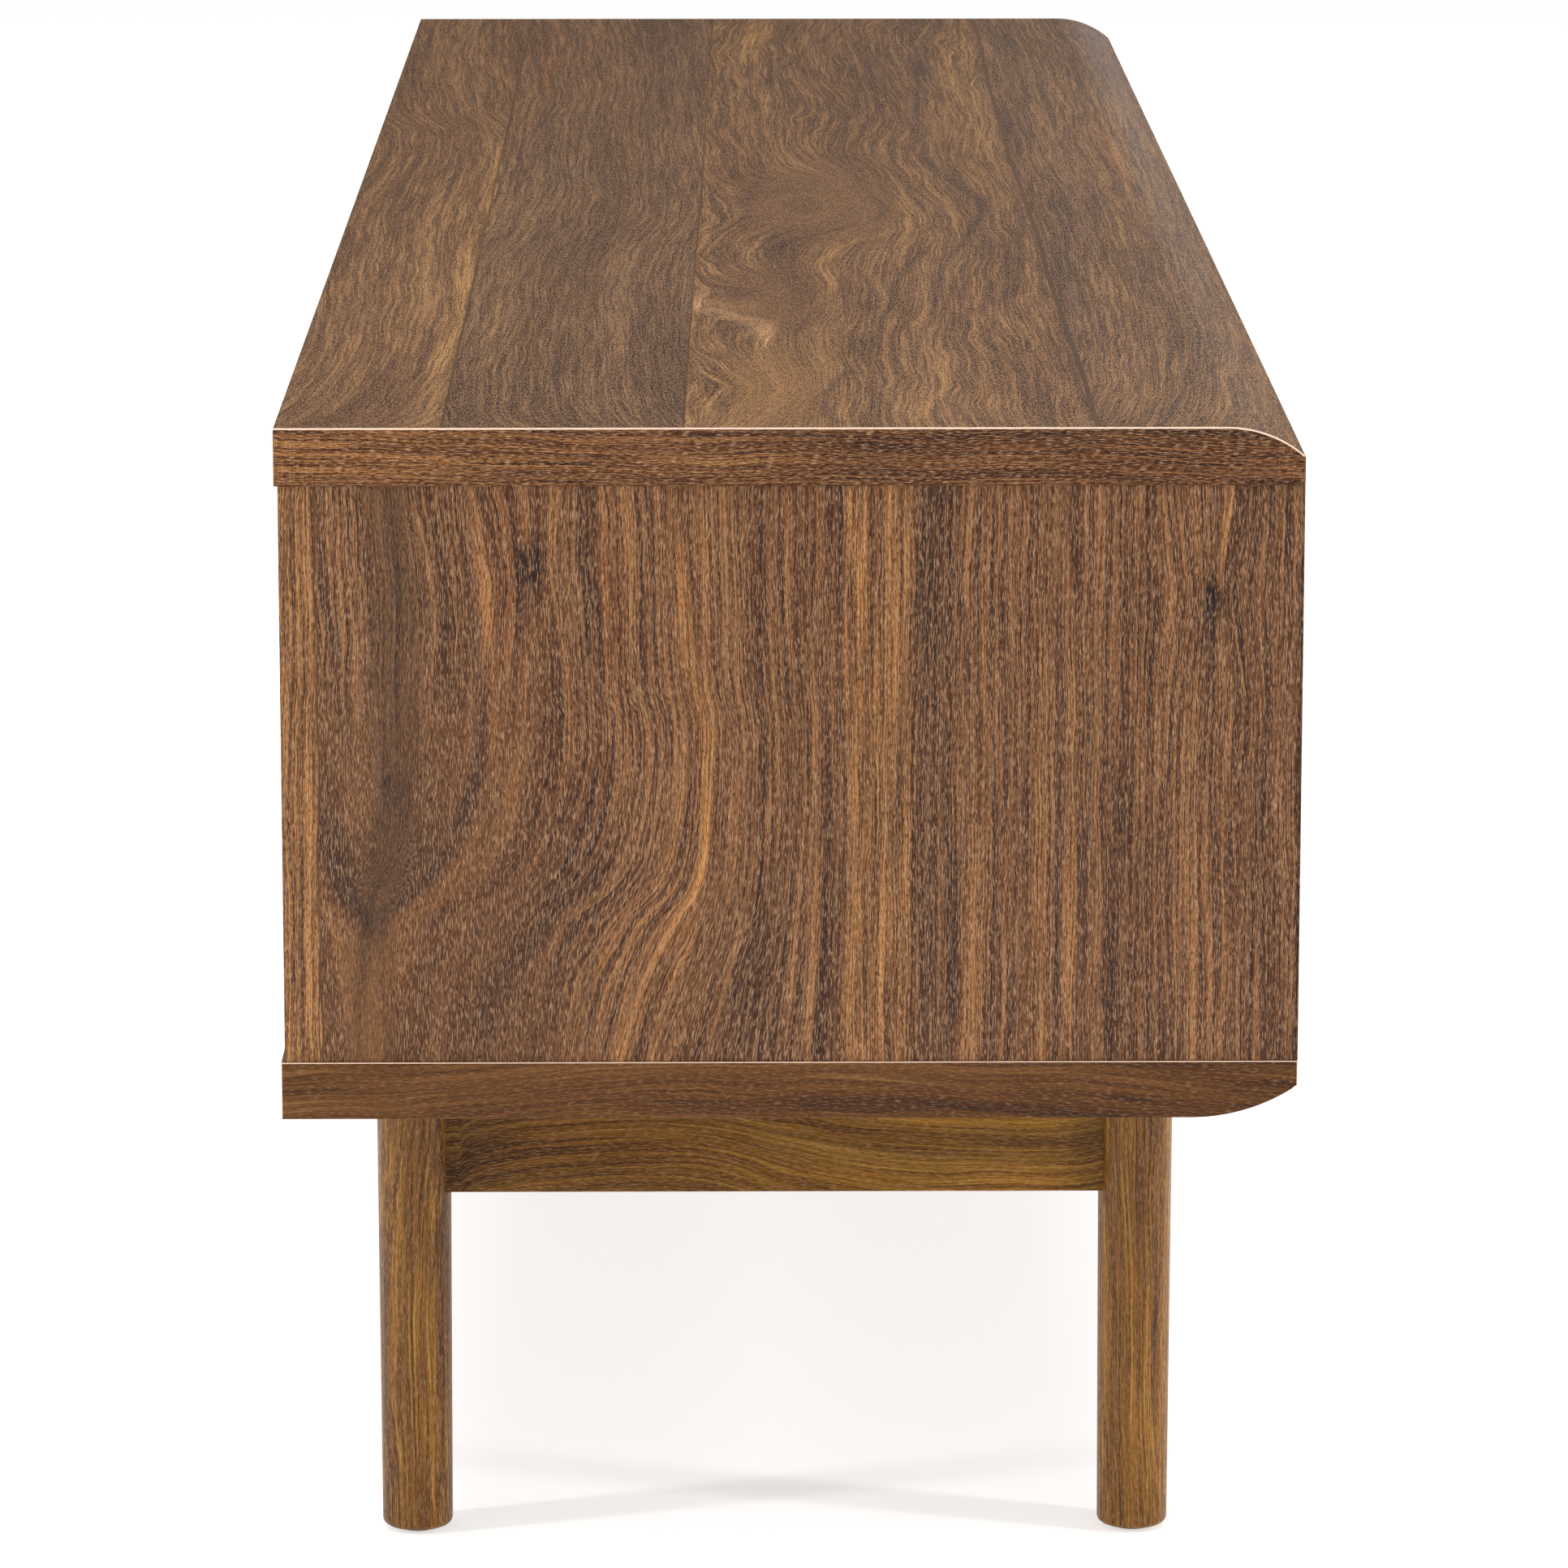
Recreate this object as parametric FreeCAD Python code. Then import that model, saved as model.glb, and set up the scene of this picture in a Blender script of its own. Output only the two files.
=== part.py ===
import FreeCAD, Part

# Media cabinet: a laminated-board carcass with three bays, two slatted sliding doors over the outer bays,
# and a base of four round legs joined by rails. Millimetres. The origin is on the floor under the middle of
# the cabinet, +X runs along its length to the right-hand end, -Y is the front and +Z is up.

import math
import os

from FreeCAD import Placement, Rotation, Vector

# ---- driving dimensions ----------------------------------------------------------------------------------

LENGTH = 1500.0                 # over the end bands
DEPTH = 394.0
HEIGHT = 457.0
UNDERSIDE = 186.0               # floor to the underside of the carcass

SLAB = 22.5                     # top and bottom panels
SIDE_BOARD = 18.0
INNER_BOARD = 15.0              # dividers and shelves
BAND = 1.0                      # edge bands
TOP_NOSE = (30.0, 11.4)         # depth and drop of the rounded upper front edge
BOTTOM_NOSE = (41.0, 12.8)      # depth and rise of the rounded lower front edge
SIDE_END_SETBACK = 1.0          # side panels stand this far inside the end bands
SIDE_BACK_SETBACK = 1.5
DIVIDER_X = 244.0               # centre of each divider from the middle
DIVIDER_FRONT = -137.0          # its front edge, just behind the rear door

BACK_BOARD = 4.0
BACK_GROOVE = 4.4               # width of the groove that holds the back boards
BACK_GROOVE_Y = 181.0           # front wall of that groove
BACK_GROOVE_DEPTH = 6.5
DIVIDER_GROOVE_DEPTH = 5.0
BACK_MARGIN = 0.5               # a back board stops this far short of the groove's floor
BACK_SLACK = 0.2                # in front of the board in its groove
CABLE_HOLE_R = 30.0
CABLE_HOLE_Z = 261.0

SHELF_FRONT = -132.0
SHELF_BACK = 160.0              # leaves a way down for cables behind the shelf
SHELF_SIDE_GAP = 1.0
PIN_HOLE_R = 2.6
PIN_HOLE_DEPTH = 7.0
PIN_R = 2.5
PIN_INSERT = 6.5
PIN_COLLAR_R = 3.75
PIN_COLLAR = 7.0
PIN_ROWS_Y = (-95.0, 125.0)
PIN_ROW_Z = 310.0               # middle hole of each column
PIN_PITCH = 32.0

CAM_R = 7.5
CAM_DEPTH = 12.5
CAM_FROM_EDGE = 34.0
CAM_ROWS_Y = (-105.0, 150.0)
CAM_CLEARANCE = 0.1
CAM_SLOT = (1.5, 9.0, 1.5)      # width, length and depth of the driver cross
CAM_BOLT_R = 3.0
CAM_BOLT_IN_SLAB = 11.0
CAM_BOLT_BORE_R = 4.0
DOWEL_R = 4.0
DOWEL_IN_SLAB = 10.0
DOWEL_IN_BOARD = 20.0
DOWEL_ROWS_Y = (-65.0, 110.0)
DRILL_CLEARANCE = 0.2           # a drilled hole over its dowel or screw, on the radius and in depth

TRACK_WIDTH = 38.0
UPPER_TRACK_DEPTH = 10.0
LOWER_TRACK_DEPTH = 6.0
CHANNEL_WIDTH = 8.0
CHANNEL_FLOOR = 2.0             # plastic left at the bottom of a channel
RUN_GAP = 0.3                   # glides and guides to the channel walls

DOOR_THICK = 16.0
DOOR_FRONTS = {"left": -180.0, "right": -158.0}     # the front face of each door: front track, rear track
DOOR_SIDES = {"left": -1, "right": 1}
DOOR_END_GAP = 1.5              # closed door to the side panel
DOOR_EDGE_GAP = 3.0             # door to the slab above and below
STILE = 32.0
RAIL = 24.0
DOOR_BOARD = 4.0
DOOR_BOARD_FROM_FRONT = 9.5
DOOR_GROOVE_DEPTH = 6.5
DOOR_BOARD_IN_GROOVE = 6.0
DOOR_GROOVE_SLACK = 0.2
SLATS = 25
SLAT_WIDTH = 12.0
SLAT_RECESS = 1.5               # slat faces lie this far behind the frame's face
DOOR_DOWEL_R = 3.0
DOOR_DOWEL_HALF = 15.0
PULL_WIDTH = 14.0
PULL_HEIGHT = 90.0
PULL_DEPTH = 8.0
GLIDE_FROM_END = 60.0           # glide and guide centres from the door's ends
GLIDE_LENGTH = 30.0
GLIDE_STEM = (18.0, 12.0)       # length and height of the stem let into the bottom rail
GUIDE_STEM = 14.0
GUIDE_REACH = 6.5               # how far a guide pin rises into the upper channel
GUIDE_COLLAR = (6.0, 1.0)       # radius and thickness
STOP_LENGTH = 12.0
STOP_GAP = 0.5                  # open door to its track stop
BUMPER_R = 4.0
BUMPER_THICK = 1.2
BUMPER_Z = (250.0, 393.0)

LEG_TOP_R = 14.75
LEG_FOOT_R = 14.0
LEG_EASE = 2.5                  # round-over at the foot
LEG_FROM_END = 71.0
LEG_FROM_FRONT = 59.0
LEG_FROM_BACK = 48.5
LEG_HOUSING = 11.5              # leg axis to the flat that an apron or rail butts against
RAIL_THICK = 14.0               # aprons and long rails of the base
RAIL_HEIGHT = 46.0
BASE_DOWEL_FROM_AXIS = 4.5
BASE_DOWEL_LENGTH = 28.0
BASE_DOWEL_SPREAD = 13.0        # above and below the rail's middle

BRACKET_THICK = 2.0
BRACKET_HEIGHT = 30.0
BRACKET_CORNER = 52.0           # leg axis to the bend, along the rail
BRACKET_REACH = 76.0            # leg axis to the end of the flange, along the rail
HANGER_R = 3.0
HANGER_SPAN = (4.0, 60.0)       # along the diagonal from the leg axis
BRACKET_HOLE_R = 3.5
WASHER = (7.0, 1.2)             # radius and thickness
NUT = (5.0, 5.0)                # half the width across flats, and thickness
SCREW_R = 1.75
SCREW_HEAD = (3.5, 2.0)
SCREW_GRIP = 11.0               # length in the rail
SCREW_AT = 66.0                 # leg axis to the screws, along the rail
SCREW_SPREAD = 8.0

FRAME_SCREW_R = 2.0
FRAME_SCREW_LENGTH = 35.0
FRAME_SCREW_HEAD = (4.0, 3.0)
FRAME_SCREW_IN_SLAB = 12.0
COUNTERBORE_R = 5.0
FRAME_SCREWS_X = (-500.0, -170.0, 170.0, 500.0)     # along the long rails
FRAME_SCREWS_Y = (-60.0, 60.0)                      # along the aprons, from their middle

GLIDE_FOOT = (8.0, 1.5)         # radius and thickness of the foot glide's head
GLIDE_NAIL = (1.2, 12.0)

# ---- places that follow from them --------------------------------------------------------------------------

END = LENGTH / 2
FRONT = -DEPTH / 2
BACK = DEPTH / 2
BAY_FLOOR = UNDERSIDE + SLAB
BAY_CEILING = HEIGHT - SLAB
SIDE_OUTER = END - SIDE_END_SETBACK
SIDE_INNER = SIDE_OUTER - SIDE_BOARD
BOARD_BACK = BACK - SIDE_BACK_SETBACK
DIVIDER_OUTER = DIVIDER_X + INNER_BOARD / 2
DIVIDER_INNER = DIVIDER_X - INNER_BOARD / 2
SIDE_GROOVE_X = SIDE_INNER + BACK_GROOVE_DEPTH
BAYS = {
    "left": (-SIDE_INNER, -DIVIDER_OUTER),
    "centre": (-DIVIDER_INNER, DIVIDER_INNER),
    "right": (DIVIDER_OUTER, SIDE_INNER),
}

DOOR_WIDTH = SIDE_INNER - DOOR_END_GAP - DIVIDER_INNER
DOOR_LOW = BAY_FLOOR + DOOR_EDGE_GAP
DOOR_HIGH = BAY_CEILING - DOOR_EDGE_GAP
DOOR_MIDDLES = {name: front + DOOR_THICK / 2 for name, front in DOOR_FRONTS.items()}
DOOR_TRAVEL = SIDE_INNER - DOOR_END_GAP - DOOR_WIDTH / 2
TRACK_MIDDLE = sum(DOOR_MIDDLES.values()) / 2
TRACK_Y = (TRACK_MIDDLE - TRACK_WIDTH / 2, TRACK_MIDDLE + TRACK_WIDTH / 2)

LEG_X = END - LEG_FROM_END
LEG_Y = {"front": FRONT + LEG_FROM_FRONT, "rear": BACK - LEG_FROM_BACK}
RAIL_LOW = UNDERSIDE - RAIL_HEIGHT
RAIL_MIDDLE = UNDERSIDE - RAIL_HEIGHT / 2
APRON_MIDDLE_Y = (LEG_Y["front"] + LEG_Y["rear"]) / 2
BRACKET_BEND = BRACKET_THICK * (math.sqrt(2) - 1)   # outer bend to inner bend, along the rail
UP = Vector(0, 0, 1)


# ---- shape helpers -----------------------------------------------------------------------------------------

def block(x, y, z):
    """A box from three (one end, other end) pairs."""
    low = Vector(min(x), min(y), min(z))
    return Part.makeBox(abs(x[1] - x[0]), abs(y[1] - y[0]), abs(z[1] - z[0]), low)


def rod(radius, start, end):
    """A round bar between two points."""
    return Part.makeCylinder(radius, (end - start).Length, start, end - start)


def save(node, *solids):
    """Write one node: a single solid, or a group of separate solids."""
    shape = solids[0] if len(solids) == 1 else Part.makeCompound(list(solids))
    if not shape.isValid() or any(not solid.isClosed() for solid in shape.Solids):
        raise RuntimeError(node + " isn't a closed valid solid")
    shape.exportStep("parts/" + node + ".step")


def around(value, half):
    return (value - half, value + half)


# ---- top and bottom panels ---------------------------------------------------------------------------------

def slab(x, inner_z, outer_z, nose):
    """A panel with one rounded front edge: flat, then an arc that leaves the outer face smoothly."""
    depth, drop = nose
    outward = 1 if outer_z > inner_z else -1
    radius = (depth ** 2 + drop ** 2) / (2 * drop)
    half_angle = math.asin(depth / radius) / 2
    tangent_y = FRONT + depth
    tangent = Vector(x[0], tangent_y, outer_z)
    middle = Vector(x[0], tangent_y - radius * math.sin(half_angle),
                    outer_z - outward * radius * (1 - math.cos(half_angle)))
    tip = Vector(x[0], FRONT, outer_z - outward * drop)
    front_inner = Vector(x[0], FRONT, inner_z)
    back_inner = Vector(x[0], BACK, inner_z)
    back_outer = Vector(x[0], BACK, outer_z)
    outline = Part.Wire([
        Part.makeLine(back_inner, back_outer),
        Part.makeLine(back_outer, tangent),
        Part.Arc(tangent, middle, tip).toShape(),
        Part.makeLine(tip, front_inner),
        Part.makeLine(front_inner, back_inner),
    ])
    return Part.Face(outline).extrude(Vector(x[1] - x[0], 0, 0))


def upright_joints():
    """Each joint of an upright to a slab: the bolt's and dowel's X, the slab's face and the way into it."""
    for side in (-1, 1):
        for middle_x in (SIDE_INNER + SIDE_BOARD / 2, DIVIDER_X):
            for face_z, into_slab in ((BAY_CEILING, 1), (BAY_FLOOR, -1)):
                yield side, side * middle_x, face_z, into_slab


def slab_drillings(face_z):
    """Holes for the cam bolts and dowels that enter the slab whose inner face is at face_z."""
    holes = []
    for side, x, z, into_slab in upright_joints():
        if z != face_z:
            continue
        for rows, radius, depth in ((CAM_ROWS_Y, CAM_BOLT_R, CAM_BOLT_IN_SLAB),
                                    (DOWEL_ROWS_Y, DOWEL_R, DOWEL_IN_SLAB)):
            for y in rows:
                bottom = Vector(x, y, z + into_slab * (depth + DRILL_CLEARANCE))
                holes.append(rod(radius + DRILL_CLEARANCE, Vector(x, y, z), bottom))
    return holes


def frame_screw_places():
    places = [(x, y) for y in LEG_Y.values() for x in FRAME_SCREWS_X]
    places += [(side * LEG_X, APRON_MIDDLE_Y + y) for side in (-1, 1) for y in FRAME_SCREWS_Y]
    return places


def make_slabs():
    core = (-END + BAND, END - BAND)
    groove_x = (-SIDE_GROOVE_X, SIDE_GROOVE_X)
    groove_y = (BACK_GROOVE_Y, BACK_GROOVE_Y + BACK_GROOVE)
    track_x = (-SIDE_INNER, SIDE_INNER)

    top_cuts = slab_drillings(BAY_CEILING)
    top_cuts.append(block(track_x, TRACK_Y, (BAY_CEILING, BAY_CEILING + UPPER_TRACK_DEPTH)))
    top_cuts.append(block(groove_x, groove_y, (BAY_CEILING, BAY_CEILING + BACK_GROOVE_DEPTH)))
    save("top_panel", slab(core, BAY_CEILING, HEIGHT, TOP_NOSE).cut(top_cuts))

    bottom_cuts = slab_drillings(BAY_FLOOR)
    bottom_cuts.append(block(track_x, TRACK_Y, (BAY_FLOOR - LOWER_TRACK_DEPTH, BAY_FLOOR)))
    bottom_cuts.append(block(groove_x, groove_y, (BAY_FLOOR - BACK_GROOVE_DEPTH, BAY_FLOOR)))
    for x, y in frame_screw_places():
        hole_top = Vector(x, y, UNDERSIDE + FRAME_SCREW_IN_SLAB + DRILL_CLEARANCE)
        bottom_cuts.append(rod(FRAME_SCREW_R + DRILL_CLEARANCE, Vector(x, y, UNDERSIDE), hole_top))
    save("bottom_panel", slab(core, BAY_FLOOR, UNDERSIDE, BOTTOM_NOSE).cut(bottom_cuts))

    ends = ((-END, -END + BAND), (END - BAND, END))
    save("top_end_bands", *[slab(x, BAY_CEILING, HEIGHT, TOP_NOSE) for x in ends])
    save("bottom_end_bands", *[slab(x, BAY_FLOOR, UNDERSIDE, BOTTOM_NOSE) for x in ends])


# ---- side panels and dividers ------------------------------------------------------------------------------

def cam_places(cam_face, inward, bolt_x):
    """Where one upright's cams sit: the pocket's mouth, its floor, the cam's middle and the slab's face."""
    for y in CAM_ROWS_Y:
        for face_z, into_slab in ((BAY_CEILING, 1), (BAY_FLOOR, -1)):
            z = face_z - into_slab * CAM_FROM_EDGE
            mouth = Vector(cam_face, y, z)
            floor = Vector(cam_face + inward * CAM_DEPTH, y, z)
            yield mouth, floor, Vector(bolt_x, y, z), Vector(bolt_x, y, face_z)


def upright_drillings(cam_face, inward, bolt_x, pin_faces):
    """Cam pockets, bolt bores, dowel holes and shelf-pin columns of one upright board."""
    cuts = []
    for mouth, floor, middle, edge in cam_places(cam_face, inward, bolt_x):
        deeper = floor + Vector(inward * CAM_CLEARANCE, 0, 0)
        cuts.append(rod(CAM_R + CAM_CLEARANCE, mouth, deeper))
        cuts.append(rod(CAM_BOLT_BORE_R, middle, edge))
    for y in DOWEL_ROWS_Y:
        for face_z, into_slab in ((BAY_CEILING, 1), (BAY_FLOOR, -1)):
            hole_end = Vector(bolt_x, y, face_z - into_slab * (DOWEL_IN_BOARD + DRILL_CLEARANCE))
            cuts.append(rod(DOWEL_R + DRILL_CLEARANCE, Vector(bolt_x, y, face_z), hole_end))
    for face, into_board in pin_faces:
        for y in PIN_ROWS_Y:
            for step in (-1, 0, 1):
                mouth = Vector(face, y, PIN_ROW_Z + step * PIN_PITCH)
                cuts.append(rod(PIN_HOLE_R, mouth, mouth + Vector(into_board * PIN_HOLE_DEPTH, 0, 0)))
    return cuts


def make_uprights():
    """Side panels and dividers. Cams go in from the bays at the ends, and both faces of a divider have pins."""
    height = (BAY_FLOOR, BAY_CEILING)
    groove_y = (BACK_GROOVE_Y, BACK_GROOVE_Y + BACK_GROOVE)
    bands = {"side": [], "divider": []}
    cams = []
    bolts = []
    for name, side in DOOR_SIDES.items():
        side_faces = (side * SIDE_OUTER, side * SIDE_INNER)
        divider_faces = (side * DIVIDER_INNER, side * DIVIDER_OUTER)
        for kind, (far_face, cam_face), inward, front, groove, bored in (
                ("side", side_faces, side, FRONT, BACK_GROOVE_DEPTH, 1),
                ("divider", divider_faces, -side, DIVIDER_FRONT, DIVIDER_GROOVE_DEPTH, 2)):
            bolt_x = (far_face + cam_face) / 2
            faces = [(cam_face, inward), (far_face, -inward)][:bored]
            cuts = upright_drillings(cam_face, inward, bolt_x, faces)
            cuts += [block((face, face + into_board * groove), groove_y, height) for face, into_board in faces]
            board = block((far_face, cam_face), (front + BAND, BOARD_BACK), height).cut(cuts)
            save(name + ("_side_panel" if kind == "side" else "_divider"), board)
            bands[kind].append(block((far_face, cam_face), (front, front + BAND), height))
            for place in cam_places(cam_face, inward, bolt_x):
                cams.append(cam(*place))
                bolts.append(cam_bolt(*place[2:]))
    for kind, strips in bands.items():
        save(kind + "_front_bands", *strips)
    save("cam_locks", *cams)
    save("cam_bolts", *bolts)


def cam(mouth, floor, middle, edge):
    """A quarter-turn lock: a drum with a bore for the bolt's head and a driver cross in its face."""
    width, length, depth = CAM_SLOT
    inward = (floor - mouth).normalize()
    bottom = mouth + inward * depth
    flat_bar = block((mouth.x, bottom.x), around(mouth.y, length / 2), around(mouth.z, width / 2))
    tall_bar = block((mouth.x, bottom.x), around(mouth.y, width / 2), around(mouth.z, length / 2))
    bolt_bore = rod(CAM_BOLT_R + DRILL_CLEARANCE, middle, edge)
    return rod(CAM_R, mouth, floor).cut([flat_bar, tall_bar, bolt_bore])


def cam_bolt(middle, edge):
    into_slab = (edge - middle).normalize()
    return rod(CAM_BOLT_R, middle + into_slab * DRILL_CLEARANCE, edge + into_slab * CAM_BOLT_IN_SLAB)


def make_carcass_dowels():
    dowels = []
    for side, x, face_z, into_slab in upright_joints():
        for y in DOWEL_ROWS_Y:
            low = Vector(x, y, face_z - into_slab * DOWEL_IN_BOARD)
            dowels.append(rod(DOWEL_R, low, Vector(x, y, face_z + into_slab * DOWEL_IN_SLAB)))
    save("carcass_dowels", *dowels)


# ---- backs and shelves -------------------------------------------------------------------------------------

def make_backs():
    y = (BACK_GROOVE_Y + BACK_SLACK, BACK_GROOVE_Y + BACK_SLACK + BACK_BOARD)
    reach = BACK_GROOVE_DEPTH - BACK_MARGIN
    divider_reach = DIVIDER_GROOVE_DEPTH - BACK_MARGIN
    reaches = {"left": (reach, divider_reach), "centre": (divider_reach, divider_reach),
               "right": (divider_reach, reach)}
    for name, bay in BAYS.items():
        low_reach, high_reach = reaches[name]
        x = (bay[0] - low_reach, bay[1] + high_reach)
        middle = sum(bay) / 2
        hole = rod(CABLE_HOLE_R, Vector(middle, y[0], CABLE_HOLE_Z), Vector(middle, y[1], CABLE_HOLE_Z))
        save("back_panel_" + name, block(x, y, (BAY_FLOOR - reach, BAY_CEILING + reach)).cut(hole))


def shelf_pin(face, outward, y):
    """A round pin with a collar: the pin goes in the board's hole and the collar carries the shelf."""
    mouth = Vector(face, y, PIN_ROW_Z)
    insert = rod(PIN_R, mouth - Vector(outward * PIN_INSERT, 0, 0), mouth)
    collar = rod(PIN_COLLAR_R, mouth, mouth + Vector(outward * PIN_COLLAR, 0, 0))
    return insert.fuse(collar)


def make_shelves():
    z = (PIN_ROW_Z + PIN_COLLAR_R, PIN_ROW_Z + PIN_COLLAR_R + INNER_BOARD)
    bands = []
    pins = []
    for name, bay in BAYS.items():
        x = (bay[0] + SHELF_SIDE_GAP, bay[1] - SHELF_SIDE_GAP)
        save("shelf_" + name, block(x, (SHELF_FRONT + BAND, SHELF_BACK), z))
        bands.append(block(x, (SHELF_FRONT, SHELF_FRONT + BAND), z))
        pins += [shelf_pin(bay[0], 1, y) for y in PIN_ROWS_Y]
        pins += [shelf_pin(bay[1], -1, y) for y in PIN_ROWS_Y]
    save("shelf_front_bands", *bands)
    save("shelf_pins", *pins)


# ---- door tracks -------------------------------------------------------------------------------------------

def track(mouth_z, floor_z):
    """A double-channel strip let into a slab, open towards the doors."""
    x = (-SIDE_INNER, SIDE_INNER)
    channel_floor = floor_z + CHANNEL_FLOOR * (1 if mouth_z > floor_z else -1)
    channels = [block(x, around(y, CHANNEL_WIDTH / 2), (mouth_z, channel_floor))
                for y in DOOR_MIDDLES.values()]
    return block(x, TRACK_Y, (mouth_z, floor_z)).cut(channels)


def make_tracks():
    save("upper_track", track(BAY_CEILING, BAY_CEILING + UPPER_TRACK_DEPTH))
    save("lower_track", track(BAY_FLOOR, BAY_FLOOR - LOWER_TRACK_DEPTH))
    stops = []
    bumpers = []
    for name, side in DOOR_SIDES.items():
        glide_tip = DOOR_WIDTH / 2 - GLIDE_FROM_END + GLIDE_LENGTH / 2
        near = -side * (glide_tip + STOP_GAP)
        y = DOOR_MIDDLES[name]
        channel = (BAY_FLOOR - LOWER_TRACK_DEPTH + CHANNEL_FLOOR, BAY_FLOOR)
        stops.append(block((near, near - side * STOP_LENGTH), around(y, CHANNEL_WIDTH / 2), channel))
        for z in BUMPER_Z:
            face = Vector(side * SIDE_INNER, y, z)
            bumpers.append(rod(BUMPER_R, face, face - Vector(side * BUMPER_THICK, 0, 0)))
    save("track_stops", *stops)
    save("door_bumpers", *bumpers)


# ---- doors -------------------------------------------------------------------------------------------------

def pull_pocket(x, face_y):
    """A routed finger pull: a slot with round ends."""
    middle_z = (DOOR_LOW + DOOR_HIGH) / 2
    straight = around(middle_z, PULL_HEIGHT / 2 - PULL_WIDTH / 2)
    y = (face_y, face_y + PULL_DEPTH)
    pocket = block(around(x, PULL_WIDTH / 2), y, straight)
    ends = [rod(PULL_WIDTH / 2, Vector(x, y[0], z), Vector(x, y[1], z)) for z in straight]
    return pocket.fuse(ends)


def make_door(name):
    """One framed door with its backing board, slats, dowels, glides and guide pins, shown closed."""
    side = DOOR_SIDES[name]
    face = DOOR_FRONTS[name]
    middle_y = DOOR_MIDDLES[name]
    y = (face, face + DOOR_THICK)
    z = (DOOR_LOW, DOOR_HIGH)
    outer = side * (SIDE_INNER - DOOR_END_GAP)
    inner = outer - side * DOOR_WIDTH
    outer_joint = outer - side * STILE
    inner_joint = inner + side * STILE
    board_y = (face + DOOR_BOARD_FROM_FRONT, face + DOOR_BOARD_FROM_FRONT + DOOR_BOARD)
    groove_y = (board_y[0], board_y[1] + DOOR_GROOVE_SLACK)
    low_joint = DOOR_LOW + RAIL
    high_joint = DOOR_HIGH - RAIL
    groove = block((outer_joint + side * DOOR_GROOVE_DEPTH, inner_joint - side * DOOR_GROOVE_DEPTH), groove_y,
                   (low_joint - DOOR_GROOVE_DEPTH, high_joint + DOOR_GROOVE_DEPTH))

    dowels = []
    dowel_holes = []
    for joint in (outer_joint, inner_joint):
        for dowel_z in (DOOR_LOW + RAIL / 2, DOOR_HIGH - RAIL / 2):
            ends = [Vector(x, middle_y, dowel_z) for x in around(joint, DOOR_DOWEL_HALF)]
            hole_ends = [Vector(x, middle_y, dowel_z)
                         for x in around(joint, DOOR_DOWEL_HALF + DRILL_CLEARANCE)]
            dowels.append(rod(DOOR_DOWEL_R, *ends))
            dowel_holes.append(rod(DOOR_DOWEL_R + DRILL_CLEARANCE, *hole_ends))
    save(name + "_door_dowels", *dowels)

    glides = []
    guides = []
    rail_cuts = []
    stem_length, stem_height = GLIDE_STEM
    collar_r, collar_thick = GUIDE_COLLAR
    runner_half = CHANNEL_WIDTH / 2 - RUN_GAP
    channel_floor = BAY_FLOOR - LOWER_TRACK_DEPTH + CHANNEL_FLOOR
    for x in (outer - side * GLIDE_FROM_END, inner + side * GLIDE_FROM_END):
        shoe = block(around(x, GLIDE_LENGTH / 2), around(middle_y, runner_half),
                     (channel_floor + RUN_GAP, DOOR_LOW))
        stem = block(around(x, stem_length / 2), around(middle_y, runner_half),
                     (DOOR_LOW, DOOR_LOW + stem_height))
        glides.append(shoe.fuse(stem))
        rail_cuts.append(block(around(x, stem_length / 2 + DRILL_CLEARANCE),
                               around(middle_y, runner_half + DRILL_CLEARANCE),
                               (DOOR_LOW, DOOR_LOW + stem_height + DRILL_CLEARANCE)))
        stem_end = Vector(x, middle_y, DOOR_HIGH - GUIDE_STEM)
        pin = rod(runner_half, stem_end, Vector(x, middle_y, BAY_CEILING + GUIDE_REACH))
        seat = Vector(x, middle_y, DOOR_HIGH)
        guides.append(pin.fuse(rod(collar_r, seat, seat + UP * collar_thick)))
        rail_cuts.append(rod(runner_half + DRILL_CLEARANCE, stem_end - UP * DRILL_CLEARANCE, seat))
    save(name + "_door_glides", *glides)
    save(name + "_door_guides", *guides)

    stile_cuts = [groove] + dowel_holes
    save(name + "_door_outer_stile", block((outer, outer_joint), y, z).cut(stile_cuts))
    inner_stile = block((inner, inner_joint), y, z)
    save(name + "_door_inner_stile",
         inner_stile.cut(stile_cuts + [pull_pocket((inner + inner_joint) / 2, face)]))
    rail_x = (outer_joint, inner_joint)
    save(name + "_door_bottom_rail",
         block(rail_x, y, (DOOR_LOW, low_joint)).cut([groove] + dowel_holes + rail_cuts))
    save(name + "_door_top_rail",
         block(rail_x, y, (high_joint, DOOR_HIGH)).cut([groove] + dowel_holes + rail_cuts))
    board_x = (outer_joint + side * DOOR_BOARD_IN_GROOVE, inner_joint - side * DOOR_BOARD_IN_GROOVE)
    board_z = (low_joint - DOOR_BOARD_IN_GROOVE, high_joint + DOOR_BOARD_IN_GROOVE)
    save(name + "_door_board", block(board_x, board_y, board_z))

    pitch = (DOOR_WIDTH - 2 * STILE) / SLATS
    low_x = min(rail_x)
    slats = [block(around(low_x + (index + 0.5) * pitch, SLAT_WIDTH / 2),
                   (face + SLAT_RECESS, board_y[0]), (low_joint, high_joint))
             for index in range(SLATS)]
    save(name + "_door_slats", *slats)


# ---- base --------------------------------------------------------------------------------------------------

def corners():
    """The four legs: name, the signs that point outwards, and the leg axis."""
    for depth_name, y in LEG_Y.items():
        for side_name, side in DOOR_SIDES.items():
            outward_y = -1 if depth_name == "front" else 1
            yield depth_name + "_" + side_name, side, outward_y, Vector(side * LEG_X, y, 0)


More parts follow.
